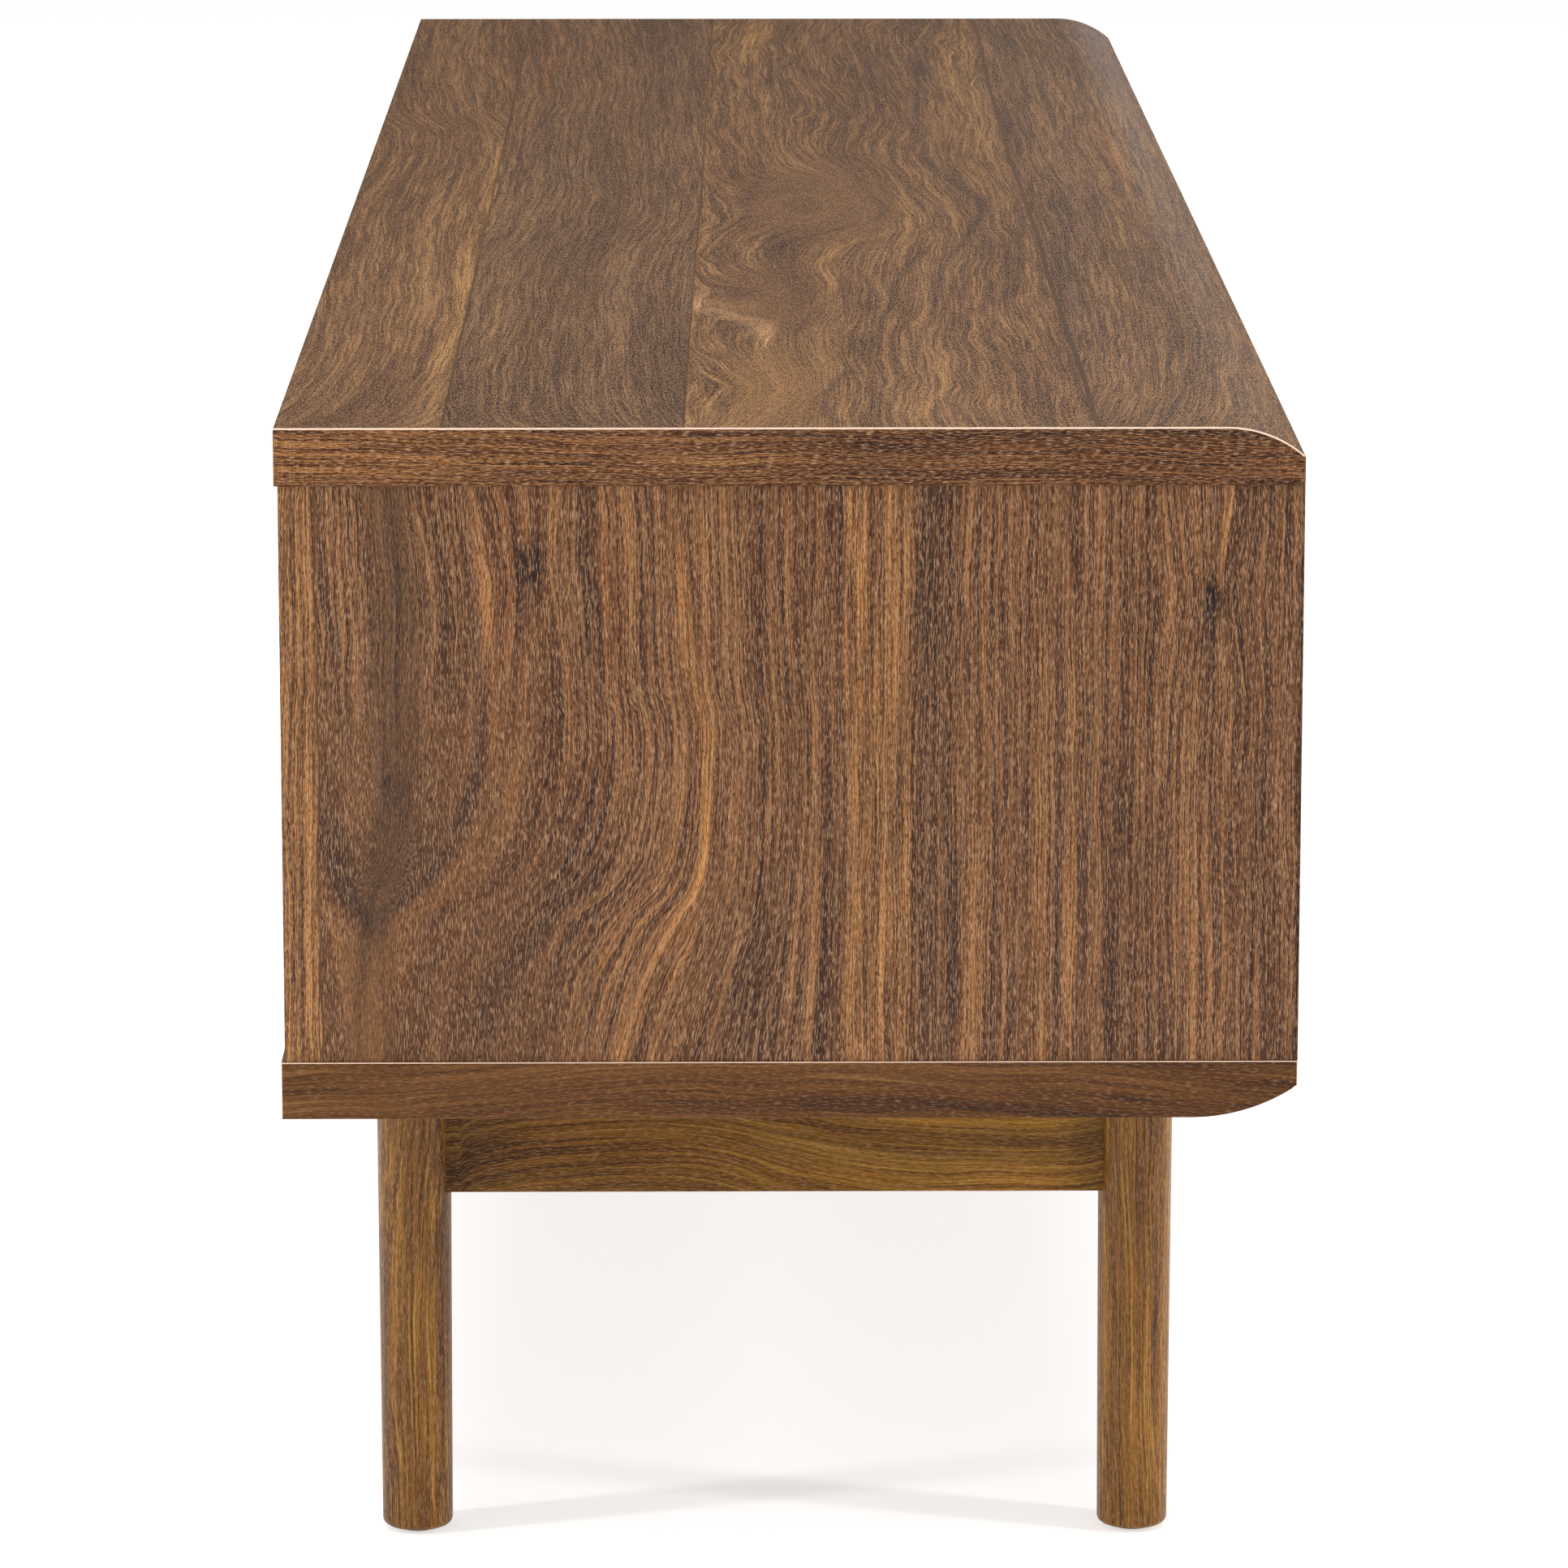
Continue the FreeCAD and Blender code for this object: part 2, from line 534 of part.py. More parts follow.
def corner_point(side, outward_y, axis, along_x, along_y, z):
    """A point measured inwards from a leg's axis."""
    return Vector(axis.x - side * along_x, axis.y - outward_y * along_y, z)


def corner_dowels(corner, radius, length_extra):
    """The dowels of one leg: two towards its apron and two towards its long rail."""
    near = BASE_DOWEL_FROM_AXIS - length_extra
    far = BASE_DOWEL_FROM_AXIS + BASE_DOWEL_LENGTH + length_extra
    bars = []
    for z in around(RAIL_MIDDLE, BASE_DOWEL_SPREAD):
        bars.append(rod(radius, corner_point(*corner, 0, near, z), corner_point(*corner, 0, far, z)))
        bars.append(rod(radius, corner_point(*corner, near, 0, z), corner_point(*corner, far, 0, z)))
    return bars


def hanger(corner, radius, span):
    """A bar along the inward diagonal of one corner, at the middle of the rails."""
    start, end = [distance / math.sqrt(2) for distance in span]
    return rod(radius, corner_point(*corner, start, start, RAIL_MIDDLE),
               corner_point(*corner, end, end, RAIL_MIDDLE))


def bracket_screws(corner, radius, span):
    """Screws through both flanges; span is measured from the rail's inner face, negative in the rail."""
    near, far = [RAIL_THICK / 2 + distance for distance in span]
    bars = []
    for z in around(RAIL_MIDDLE, SCREW_SPREAD):
        bars.append(rod(radius, corner_point(*corner, near, SCREW_AT, z),
                        corner_point(*corner, far, SCREW_AT, z)))
        bars.append(rod(radius, corner_point(*corner, SCREW_AT, near, z),
                        corner_point(*corner, SCREW_AT, far, z)))
    return bars


def corner_bracket(corner):
    """A bent steel plate across one corner, with a flange on each rail."""
    face = RAIL_THICK / 2
    inner = BRACKET_CORNER + BRACKET_BEND
    outline = [(face, BRACKET_REACH), (face + BRACKET_THICK, BRACKET_REACH),
               (face + BRACKET_THICK, inner), (inner, face + BRACKET_THICK),
               (BRACKET_REACH, face + BRACKET_THICK), (BRACKET_REACH, face),
               (BRACKET_CORNER, face), (face, BRACKET_CORNER)]
    low = RAIL_MIDDLE - BRACKET_HEIGHT / 2
    points = [corner_point(*corner, along_x, along_y, low) for along_x, along_y in outline]
    plate = Part.Face(Part.makePolygon(points + points[:1])).extrude(UP * BRACKET_HEIGHT)
    holes = bracket_screws(corner, SCREW_R + DRILL_CLEARANCE, (0, BRACKET_THICK))
    return plate.cut(holes + [hanger(corner, BRACKET_HOLE_R, HANGER_SPAN)])


def bracket_face_distance():
    """Leg axis to the bracket's inner face, along the diagonal."""
    return (BRACKET_CORNER + BRACKET_BEND + RAIL_THICK / 2 + BRACKET_THICK) / math.sqrt(2)


def hex_nut(corner, start, thickness):
    half_flats = NUT[0]
    tip = half_flats / math.cos(math.pi / 6)
    points = [Vector(tip * math.cos(math.pi / 3 * turn), tip * math.sin(math.pi / 3 * turn), 0)
              for turn in range(6)]
    nut = Part.Face(Part.makePolygon(points + points[:1])).extrude(UP * thickness)
    bore = rod(HANGER_R + DRILL_CLEARANCE, Vector(0, 0, 0), UP * thickness)
    nut = nut.cut(bore)
    base = corner_point(*corner, start / math.sqrt(2), start / math.sqrt(2), RAIL_MIDDLE)
    inward = corner_point(*corner, 1, 1, 0) - corner_point(*corner, 0, 0, 0)
    nut.Placement = Placement(base, Rotation(UP, inward))
    return nut


def make_leg(name, corner):
    axis = corner[2]
    low = GLIDE_FOOT[1]
    foot = Vector(axis.x, axis.y, low)
    leg = Part.makeCone(LEG_FOOT_R, LEG_TOP_R, UNDERSIDE - low, foot)
    rim = [edge for edge in leg.Edges if edge.BoundBox.ZMax < low + LEG_EASE]
    leg = leg.makeFillet(LEG_EASE, rim[:1])
    half = RAIL_THICK / 2
    beyond = 2 * LEG_TOP_R
    height = (RAIL_LOW, UNDERSIDE)
    housings = []
    for x_span, y_span in (((-half, half), (LEG_HOUSING, beyond)), ((LEG_HOUSING, beyond), (-half, half))):
        ends = [corner_point(*corner, x_span[index], y_span[index], 0) for index in (0, 1)]
        housings.append(block((ends[0].x, ends[1].x), (ends[0].y, ends[1].y), height))
    dowel_holes = corner_dowels(corner, DOWEL_R + DRILL_CLEARANCE, DRILL_CLEARANCE)
    hanger_hole = hanger(corner, HANGER_R + DRILL_CLEARANCE, (HANGER_SPAN[0] - DRILL_CLEARANCE, beyond))
    nail_r, nail_length = GLIDE_NAIL
    nail_hole = rod(nail_r + DRILL_CLEARANCE, foot, foot + UP * (nail_length + DRILL_CLEARANCE))
    save(name + "_leg", leg.cut(housings + dowel_holes + [hanger_hole, nail_hole]))


def rail_holes(places):
    """Stepped holes for the screws that come up through a rail into the bottom panel."""
    head_top = UNDERSIDE + FRAME_SCREW_IN_SLAB - FRAME_SCREW_LENGTH
    cuts = []
    for x, y in places:
        cuts.append(rod(FRAME_SCREW_R + DRILL_CLEARANCE, Vector(x, y, head_top), Vector(x, y, UNDERSIDE)))
        cuts.append(rod(COUNTERBORE_R, Vector(x, y, RAIL_LOW), Vector(x, y, head_top)))
    return cuts


def make_rails():
    height = (RAIL_LOW, UNDERSIDE)
    half = RAIL_THICK / 2
    corner_cuts = []
    for name, *corner in corners():
        corner_cuts += corner_dowels(corner, DOWEL_R + DRILL_CLEARANCE, DRILL_CLEARANCE)
        corner_cuts += bracket_screws(corner, SCREW_R + DRILL_CLEARANCE, (-SCREW_GRIP - DRILL_CLEARANCE, 0))
    cuts = corner_cuts + rail_holes(frame_screw_places())
    rail_x = (-LEG_X + LEG_HOUSING, LEG_X - LEG_HOUSING)
    for name, y in LEG_Y.items():
        save(name + "_rail", block(rail_x, around(y, half), height).cut(cuts))
    apron_y = (LEG_Y["front"] + LEG_HOUSING, LEG_Y["rear"] - LEG_HOUSING)
    for name, side in DOOR_SIDES.items():
        save(name + "_end_apron", block(around(side * LEG_X, half), apron_y, height).cut(cuts))


def make_base_hardware():
    brackets = []
    hangers = []
    washers = []
    nuts = []
    screws = []
    dowels = []
    glides = []
    washer_r, washer_thick = WASHER
    washer_start = bracket_face_distance()
    nut_start = washer_start + washer_thick
    head_r, head_thick = SCREW_HEAD
    for name, *corner in corners():
        make_leg(name, corner)
        brackets.append(corner_bracket(corner))
        hangers.append(hanger(corner, HANGER_R, HANGER_SPAN))
        washers.append(hanger(corner, washer_r, (washer_start, nut_start))
                       .cut(hanger(corner, HANGER_R + DRILL_CLEARANCE, (washer_start, nut_start))))
        nuts.append(hex_nut(corner, nut_start, NUT[1]))
        shanks = bracket_screws(corner, SCREW_R, (-SCREW_GRIP, BRACKET_THICK))
        heads = bracket_screws(corner, head_r, (BRACKET_THICK, BRACKET_THICK + head_thick))
        screws += [shank.fuse(head) for shank, head in zip(shanks, heads)]
        dowels += corner_dowels(corner, DOWEL_R, 0)
        floor = corner[2]
        pad_r, pad_thick = GLIDE_FOOT
        nail_r, nail_length = GLIDE_NAIL
        pad = rod(pad_r, floor, floor + UP * pad_thick)
        glides.append(pad.fuse(rod(nail_r, floor + UP * pad_thick, floor + UP * (pad_thick + nail_length))))
    save("corner_brackets", *brackets)
    save("hanger_bolts", *hangers)
    save("hanger_washers", *washers)
    save("hanger_nuts", *nuts)
    save("bracket_screws", *screws)
    save("base_dowels", *dowels)
    save("foot_glides", *glides)


def make_frame_screws():
    head_r, head_thick = FRAME_SCREW_HEAD
    head_top = UNDERSIDE + FRAME_SCREW_IN_SLAB - FRAME_SCREW_LENGTH
    screws = []
    for x, y in frame_screw_places():
        top = Vector(x, y, UNDERSIDE + FRAME_SCREW_IN_SLAB)
        seat = Vector(x, y, head_top)
        screws.append(rod(FRAME_SCREW_R, seat, top).fuse(rod(head_r, seat - UP * head_thick, seat)))
    save("frame_screws", *screws)


os.makedirs("parts", exist_ok=True)
make_slabs()
make_uprights()
make_carcass_dowels()
make_backs()
make_shelves()
make_tracks()
for door in DOOR_SIDES:
    make_door(door)
make_rails()
make_base_hardware()
make_frame_screws()
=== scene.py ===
import math

import bmesh
import bpy
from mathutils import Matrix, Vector


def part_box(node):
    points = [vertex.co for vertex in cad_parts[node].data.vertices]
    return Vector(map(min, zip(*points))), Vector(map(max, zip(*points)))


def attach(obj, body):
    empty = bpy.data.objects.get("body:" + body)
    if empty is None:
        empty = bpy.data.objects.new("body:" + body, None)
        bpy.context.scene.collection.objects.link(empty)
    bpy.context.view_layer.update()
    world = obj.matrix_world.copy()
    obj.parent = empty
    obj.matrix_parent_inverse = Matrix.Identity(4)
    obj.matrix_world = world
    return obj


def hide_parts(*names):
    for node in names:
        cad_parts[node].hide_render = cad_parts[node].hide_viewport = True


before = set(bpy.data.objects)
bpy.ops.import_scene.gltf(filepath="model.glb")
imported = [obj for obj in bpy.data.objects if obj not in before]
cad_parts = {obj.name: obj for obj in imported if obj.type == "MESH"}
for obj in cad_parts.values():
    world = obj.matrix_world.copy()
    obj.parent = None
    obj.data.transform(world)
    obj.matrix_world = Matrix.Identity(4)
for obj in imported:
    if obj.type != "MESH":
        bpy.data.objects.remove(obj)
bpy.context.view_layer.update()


# ---- Legs --------------------------------------------------------------------------------------------------
# Four round legs of stained solid wood, turned to a slight taper with an eased foot. Each is pulled against
# the base frame by a hanger bolt through its top.

class Wire:
    """A value in a material. Arithmetic on it adds Math nodes."""

    def __init__(self, finish, socket):
        self.finish = finish
        self.socket = socket

    def math(self, operation, first, second=0.0):
        return self.finish.node("Math", {"operation": operation}, {0: first, 1: second})

    def __add__(self, other):
        return self.math("ADD", self, other)

    def __radd__(self, other):
        return self.math("ADD", other, self)

    def __sub__(self, other):
        return self.math("SUBTRACT", self, other)

    def __rsub__(self, other):
        return self.math("SUBTRACT", other, self)

    def __mul__(self, other):
        return self.math("MULTIPLY", self, other)

    def __truediv__(self, other):
        return self.math("DIVIDE", self, other)

    def root(self):
        return self.math("SQRT", self)

    def bell(self):
        """1 where the value is 0, and near 0 where it is above 2 either way."""
        return self.finish.bell_of(self * self)


class Finish:
    """A material, made node by node."""

    def __init__(self, name):
        self.material = bpy.data.materials.new(name)
        self.material.use_nodes = True
        self.tree = self.material.node_tree
        self.tree.nodes.clear()

    def node(self, kind, settings=None, sockets=None, output=0):
        made = self.tree.nodes.new("ShaderNode" + kind)
        for key, value in (settings or {}).items():
            if key == "stops":
                ramp = made.color_ramp
                while len(ramp.elements) < len(value):
                    ramp.elements.new(1.0)
                for element, (position, colour) in zip(ramp.elements, value):
                    element.position = position
                    element.color = (*colour, 1.0)
            elif key == "points":
                curve = made.mapping.curves[0]
                while len(curve.points) < len(value):
                    curve.points.new(0.5, 0.5)
                for point, place in zip(curve.points, value):
                    point.location = place
                made.mapping.update()
            else:
                setattr(made, key, value)
        for key, value in (sockets or {}).items():
            named = {socket.identifier: socket for socket in made.inputs}
            socket = named[key] if key in named else made.inputs[key]
            if isinstance(value, Wire):
                self.tree.links.new(value.socket, socket)
            elif socket.type == "RGBA":
                socket.default_value = (*value, 1.0)
            else:
                socket.default_value = value
        return Wire(self, made.outputs[output]) if made.outputs else None

    def split(self, vector):
        separate = self.node("SeparateXYZ", {}, {"Vector": vector})
        return [Wire(self, socket) for socket in separate.socket.node.outputs]

    def noise(self, x, y, z, detail=2.0, roughness=0.5):
        place = self.node("CombineXYZ", {}, {"X": x, "Y": y, "Z": z})
        return self.node("TexNoise", {}, {"Vector": place, "Scale": 1.0, "Detail": detail,
                                          "Roughness": roughness})

    def ease(self, value, low, high):
        """0 below low, 1 above high, and smooth between them."""
        return self.node("MapRange", {"interpolation_type": "SMOOTHSTEP"},
                         {"Value": value, "From Min": low, "From Max": high})

    def follow(self, place, points):
        """The height, at a place, of a smooth curve through (place, height) points."""
        first, last = points[0][0], points[-1][0]
        low = min(height for _, height in points)
        span = max(height for _, height in points) - low
        shares = [((at - first) / (last - first), (height - low) / span) for at, height in points]
        along = self.node("MapRange", {}, {"Value": place, "From Min": first, "From Max": last})
        return self.node("FloatCurve", {"points": shares}, {"Value": along}) * span + low

    def patch(self, length, width, place, reach):
        """A soft oval: 1 at its (length, width) place and near 0 two reaches away."""
        along = (length - place[0]) / reach[0]
        across = (width - place[1]) / reach[1]
        return self.bell_of(along * along + across * across)

    def bell_of(self, square):
        """1 where a squared value is 0, falling smoothly to near 0 where it is above 4."""
        return self.node("Math", {"operation": "POWER"}, {0: math.e, 1: square * -1.0})

    def streaks(self, length, width, drawn):
        """Soft lines along the grain, each (breadth, strength, points), in millimetres."""
        total = 0.0
        for breadth, strength, points in drawn:
            path = [(at / 1000, height / 1000) for at, height in points]
            if len({height for _, height in path}) == 1:
                offset = width - path[0][1]
            else:
                offset = width - self.follow(length, path)
            start, end = path[0][0], path[-1][0]
            fade = (end - start) * 0.25
            across = offset / (breadth / 1000)
            begun = self.ease(length, start - fade, start + fade)
            ended = self.ease(length, end - fade, end + fade)
            total = total + self.bell_of(across * across) * (begun * (1.0 - ended)) * strength
        return total

    def mix(self, amount, first, second, blend="MIX"):
        return self.node("Mix", {"data_type": "RGBA", "blend_type": blend},
                         {"Factor_Float": amount, "A_Color": first, "B_Color": second}, "Result")

    def surface(self, colour, roughness, height=None, relief=0.0, constants=None):
        sockets = {"Base Color": colour, "Roughness": roughness}
        if height is not None:
            sockets["Normal"] = self.node("Bump", {}, {"Height": height, "Distance": relief, "Strength": 1.0})
        sockets.update(constants or {})
        shader = self.node("BsdfPrincipled", {}, sockets)
        self.node("OutputMaterial", {}, {"Surface": shader})
        return self.material


def tint(red, green, blue):
    """A screen colour, 0 to 255, as the linear colour that a shader takes."""
    return tuple(((channel / 255 + 0.055) / 1.055) ** 2.4 for channel in (red, green, blue))


WALNUT_TONES = [tint(57, 31, 18), tint(79, 47, 28), tint(102, 65, 38), tint(125, 82, 49), tint(154, 106, 64)]
GOLD = (1.52, 1.56, 1.30)
PURPLE = (0.48, 0.50, 0.68)
GREY = (0.84, 0.93, 1.08)
RUST = (1.28, 1.06, 0.92)
PORE_SHADE = (0.25, 0.22, 0.22)
PORE_DUST_AND_GLINT = tint(200, 158, 120)
PORE_DEPTH = 0.00008
COAT_ROUGHNESS = 0.25


def walnut(name, along, tones=WALNUT_TONES, figure=None, seed=0.0, bands=0.9, threads=1.0, pores=1.0,
           roughness=0.46, shine=0.18, coat=0.0):
    """Walnut with its grain along one axis: broad bands, growth lines, fine threads and open pores, with pale
    flecks in the pores that are partly pale filler and partly painted glints. A figure bends the growth lines
    and adds marks, each a mask and what it multiplies the colour by: stains, and also painted shade in the
    apron's figure and a painted sheen in the top's. The pores keep to the straighter grain beneath the
    figure."""
    finish = Finish(name)
    x, y, z = finish.split(finish.node("TexCoord", {}, {}, "Object"))
    length, width, depth = {"X": (x, y, z), "Y": (y, z, x), "Z": (z, y, x)}[along]
    wander = finish.noise(length * 3.0 + seed, width * 11, depth * 11, 3.0) - 0.5
    calm, stains = 0.0, []
    if figure:
        growth, grain, shift, calm, stains = figure(finish, length, width, wander)
        depth = depth + shift
    else:
        growth = grain = width + wander * 0.04
    growth = growth + (finish.noise(length * 24 + seed, width * 40, depth * 40) - 0.5) * 0.0035

    band = finish.noise(length * 1.8 + seed, growth * 26, depth * 26 + seed, 2.0) - 0.5
    ring = finish.noise(length * 3.0, growth * 150, depth * 150 + seed, 2.0) - 0.5
    line = finish.noise(length * 7.0, growth * 520, depth * 520 + seed, 2.0) - 0.5
    thread = finish.noise(length * 18, growth * 1700, depth * 1700 + seed, 2.0, 0.65) - 0.5
    fine = (line + thread * 1.6) * threads * (1.0 - calm)
    tone = band * bands + ring * (0.75 * bands) + fine + 0.5
    stops = [(0.08, tones[0]), (0.30, tones[1]), (0.50, tones[2]), (0.70, tones[3]), (0.92, tones[4])]
    colour = finish.node("ValToRGB", {"stops": stops}, {"Fac": tone})
    dusky = finish.ease(finish.noise(length * 1.5, growth * 34 + seed, depth * 34 + 3.0), 0.44, 0.66)
    colour = finish.mix(dusky * (0.5 * bands), colour, PURPLE, "MULTIPLY")
    warm = finish.ease(finish.noise(length * 1.3 + 9.0, growth * 40 + seed, depth * 40), 0.50, 0.68)
    colour = finish.mix(warm * (0.4 * bands), colour, GOLD, "MULTIPLY")
    for mask, strength in stains:
        colour = finish.mix(mask, colour, strength, "MULTIPLY")

    slant = length + width * 0.4
    dents = finish.noise(slant * 420, grain * 2900, depth * 2900, 1.0)
    flecks = finish.noise(slant * 300 + 4.0, grain * 2700, depth * 2700 + 7.0, 1.0)
    dent = finish.ease(dents, 0.52, 0.62)
    fleck = finish.ease(flecks, 0.54, 0.64)
    colour = finish.mix(dent * (0.75 * pores), colour, PORE_SHADE, "MULTIPLY")
    # Pale flecks along the pores: partly pale filler, partly painted glints of pores catching the light.
    colour = finish.mix(fleck * (0.36 * pores), colour, PORE_DUST_AND_GLINT)
    polish = dent * 0.15 + line * 0.15 + roughness
    relief = fleck * 0.4 - dent + thread * 0.8
    sheen = {"Specular IOR Level": shine, "Coat Weight": coat, "Coat Roughness": COAT_ROUGHNESS}
    return finish.surface(colour, polish, relief, PORE_DEPTH * pores, sheen)


CREASE = 35.0


def keep(name, shape, crease=CREASE):
    """A finished mesh as an object at the origin, smooth except at its creases."""
    mesh = bpy.data.meshes.new(name)
    shape.to_mesh(mesh)
    shape.free()
    mesh.polygons.foreach_set("use_smooth", [True] * len(mesh.polygons))
    mesh.set_sharp_from_angle(angle=math.radians(crease))
    piece = bpy.data.objects.new(name, mesh)
    bpy.context.scene.collection.objects.link(piece)
    return piece


def turned(profile, steps, centre):
    """A closed round shape about a vertical axis, from its (radius, height) profile, bottom to top."""
    shape = bmesh.new()
    rings = []
    for radius, height in profile:
        turns = [2 * math.pi * step / steps for step in range(steps)] if radius > 0 else [0.0]
        places = [Vector((radius * math.cos(turn), radius * math.sin(turn), height)) for turn in turns]
        rings.append([shape.verts.new(centre + place) for place in places])
    for below, above in zip(rings, rings[1:]):
        for step in range(steps):
            corners = [below[step % len(below)], below[(step + 1) % steps % len(below)],
                       above[(step + 1) % steps % len(above)], above[step % len(above)]]
            shape.faces.new(list(dict.fromkeys(corners)))
    return shape


def fit(piece, body, slot, material, *nodes):
    """Give a piece its finish, let it stand for its CAD pieces and ride on its body."""
    piece.data.materials.append(material)
    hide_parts(*nodes)
    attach(piece, body)


LEG_TONES = [tint(52, 26, 2), tint(86, 50, 6), tint(112, 70, 12), tint(138, 92, 24), tint(168, 120, 50)]
leg_wood = walnut("leg_wood", "Z", LEG_TONES, seed=4.0, bands=0.8, pores=0.6, roughness=0.42, shine=0.12,
                  coat=0.2)
HEAD_RADIUS = 0.01475
FOOT_RADIUS = 0.014
FOOT_CENTRE = 0.0018
FOOT_EASE = 0.0028
EASE_STEPS = 6
TAPER_SHARES = (0.2, 0.4, 0.6, 0.8, 1.0)
LEG_STEPS = 72
quarter = [math.pi / 2 * step / EASE_STEPS for step in range(EASE_STEPS + 1)]
for leg in ("front_left_leg", "front_right_leg", "rear_left_leg", "rear_right_leg"):
    low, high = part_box(leg)
    axis = Vector(((low.x + high.x) / 2, (low.y + high.y) / 2, 0.0))
    profile = [(0.0, low.z), (FOOT_CENTRE, low.z)]
    profile += [(FOOT_RADIUS - FOOT_EASE + FOOT_EASE * math.sin(turn),
                 low.z + FOOT_EASE * (1 - math.cos(turn))) for turn in quarter]
    profile += [(FOOT_RADIUS + (HEAD_RADIUS - FOOT_RADIUS) * share, low.z + (high.z - low.z) * share)
                for share in TAPER_SHARES]
    profile += [(0.0, high.z)]
    piece = keep(leg + "_turned", turned(profile, LEG_STEPS, axis))
    fit(piece, "cabinet", "solid_wood", leg_wood, leg)


# ---- Base frame --------------------------------------------------------------------------------------------
# Two end aprons and two long rails of the same solid wood, planed square with lightly eased edges. They are
# dowelled into the legs and screwed up into the bottom panel.

MERGE_DISTANCE = 0.00001
FLAT_ANGLE = 0.5


def eased_copy(node, width, segments=2):
    """A CAD piece with its triangles merged into faces and every sharp edge eased."""
    shape = bmesh.new()
    shape.from_mesh(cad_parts[node].data)
    bmesh.ops.remove_doubles(shape, verts=shape.verts, dist=MERGE_DISTANCE)
    flat = math.radians(FLAT_ANGLE)
    bmesh.ops.dissolve_limit(shape, angle_limit=flat, verts=shape.verts, edges=shape.edges)
    rough = keep(node + "_rough", shape)
    bevel = rough.modifiers.new("eased_edges", "BEVEL")
    bevel.width = width
    bevel.segments = segments
    bevel.limit_method = "ANGLE"
    bevel.angle_limit = math.radians(CREASE)
    view = bpy.context.evaluated_depsgraph_get()
    made = bpy.data.meshes.new_from_object(rough.evaluated_get(view), depsgraph=view)
    made.polygons.foreach_set("use_smooth", [True] * len(made.polygons))
    made.set_sharp_from_angle(angle=math.radians(CREASE))
    rough.modifiers.clear()
    rough.data = made
    rough.data.materials.clear()
    rough.name = node + "_eased"
    return rough


APRON_TONES = [tint(42, 19, 2), tint(76, 43, 6), tint(106, 67, 13), tint(133, 91, 26), tint(162, 118, 46)]
APRON_SWEEP = ((-0.130, 0.002), (-0.060, -0.003), (0.0, 0.002), (0.060, 0.009), (0.130, 0.001))
APRON_END = 0.126
END_SHADE_FROM = 0.096
PLANED_EASE = 0.0008


def apron_figure(finish, length, width, wander):
    """Growth lines that rise and fall in one long wave, and painted shade darkening both ends where the
    apron meets the legs.
    """
    grain = width - finish.follow(length, APRON_SWEEP) * 0.5 + wander * 0.02
    growth = width - finish.follow(length, APRON_SWEEP) * 1.2 + wander * 0.03
    # Painted shade: the mask below is 1 at both ends of the apron, where it meets the legs, and darkens them.
    past_left = finish.ease(length, -APRON_END, -END_SHADE_FROM)
    past_right = finish.ease(length, END_SHADE_FROM, APRON_END)
    ends = 1.0 - past_left * (1.0 - past_right)
    broad = finish.ease(finish.noise(length * 4.0, growth * 90, 4.0), 0.48, 0.60)
    return growth, grain, 0.0, 0.0, ((broad * 0.55, PURPLE), (ends * 0.45, PURPLE))


apron_wood = walnut("apron_wood", "Y", APRON_TONES, apron_figure, seed=1.5, threads=0.7, pores=0.5,
                    roughness=0.42, shine=0.12)
rail_wood = walnut("rail_wood", "X", APRON_TONES, seed=2.5, threads=0.8, pores=0.6, roughness=0.42,
                   shine=0.12)
for node in ("left_end_apron", "right_end_apron"):
    fit(eased_copy(node, PLANED_EASE), "cabinet", "solid_wood", apron_wood, node)
for node in ("front_rail", "rear_rail"):
    fit(eased_copy(node, PLANED_EASE), "cabinet", "solid_wood", rail_wood, node)


# ---- Top and bottom panels ---------------------------------------------------------------------------------
# Thick particle board wrapped in walnut-look laminate, the front edge formed to a soft lip over the doors.
# The laminate's grain runs the cabinet's length, and the slots for the door tracks and the backs are sawn in.

REAR_EASE = 0.0006
LIP_EASE = 0.0009
INNER_EASE = 0.0004
LIP_CREASE = 25.0


def lip_outline(node, inner_z, outer_z, lip_depth, lip_drop, track, steps=20):
    """The panel's section seen from its end: eased corners, the formed lip, and the two sawn slots."""
    low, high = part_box(node)
    outward = 1 if outer_z > inner_z else -1
    radius = (lip_depth ** 2 + lip_drop ** 2) / (2 * lip_drop)
    sweep = math.asin(lip_depth / radius)
    tangent_y = low.y + lip_depth
    outline = [(high.y, outer_z, REAR_EASE), (tangent_y, outer_z, 0.0)]
    for step in range(1, steps + 1):
        turn = sweep * step / steps
        ease = LIP_EASE if step == steps else 0.0
        outline.append((tangent_y - radius * math.sin(turn),
                        outer_z - outward * radius * (1 - math.cos(turn)), ease))
    outline.append((low.y, inner_z, INNER_EASE))
    if track:
        track_low, track_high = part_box(track)
        back_low, back_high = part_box("back_panel_centre")
        floors = {1: (track_high.z, back_high.z), -1: (track_low.z, back_low.z)}[outward]
        for slot_low, slot_high, floor in ((track_low.y, track_high.y, floors[0]),
                                           (back_low.y, back_high.y, floors[1])):
            outline += [(slot_low, inner_z, 0.0), (slot_low, floor, 0.0), (slot_high, floor, 0.0),
                        (slot_high, inner_z, 0.0)]
    outline.append((high.y, inner_z, INNER_EASE))
    return eased_outline(outline)


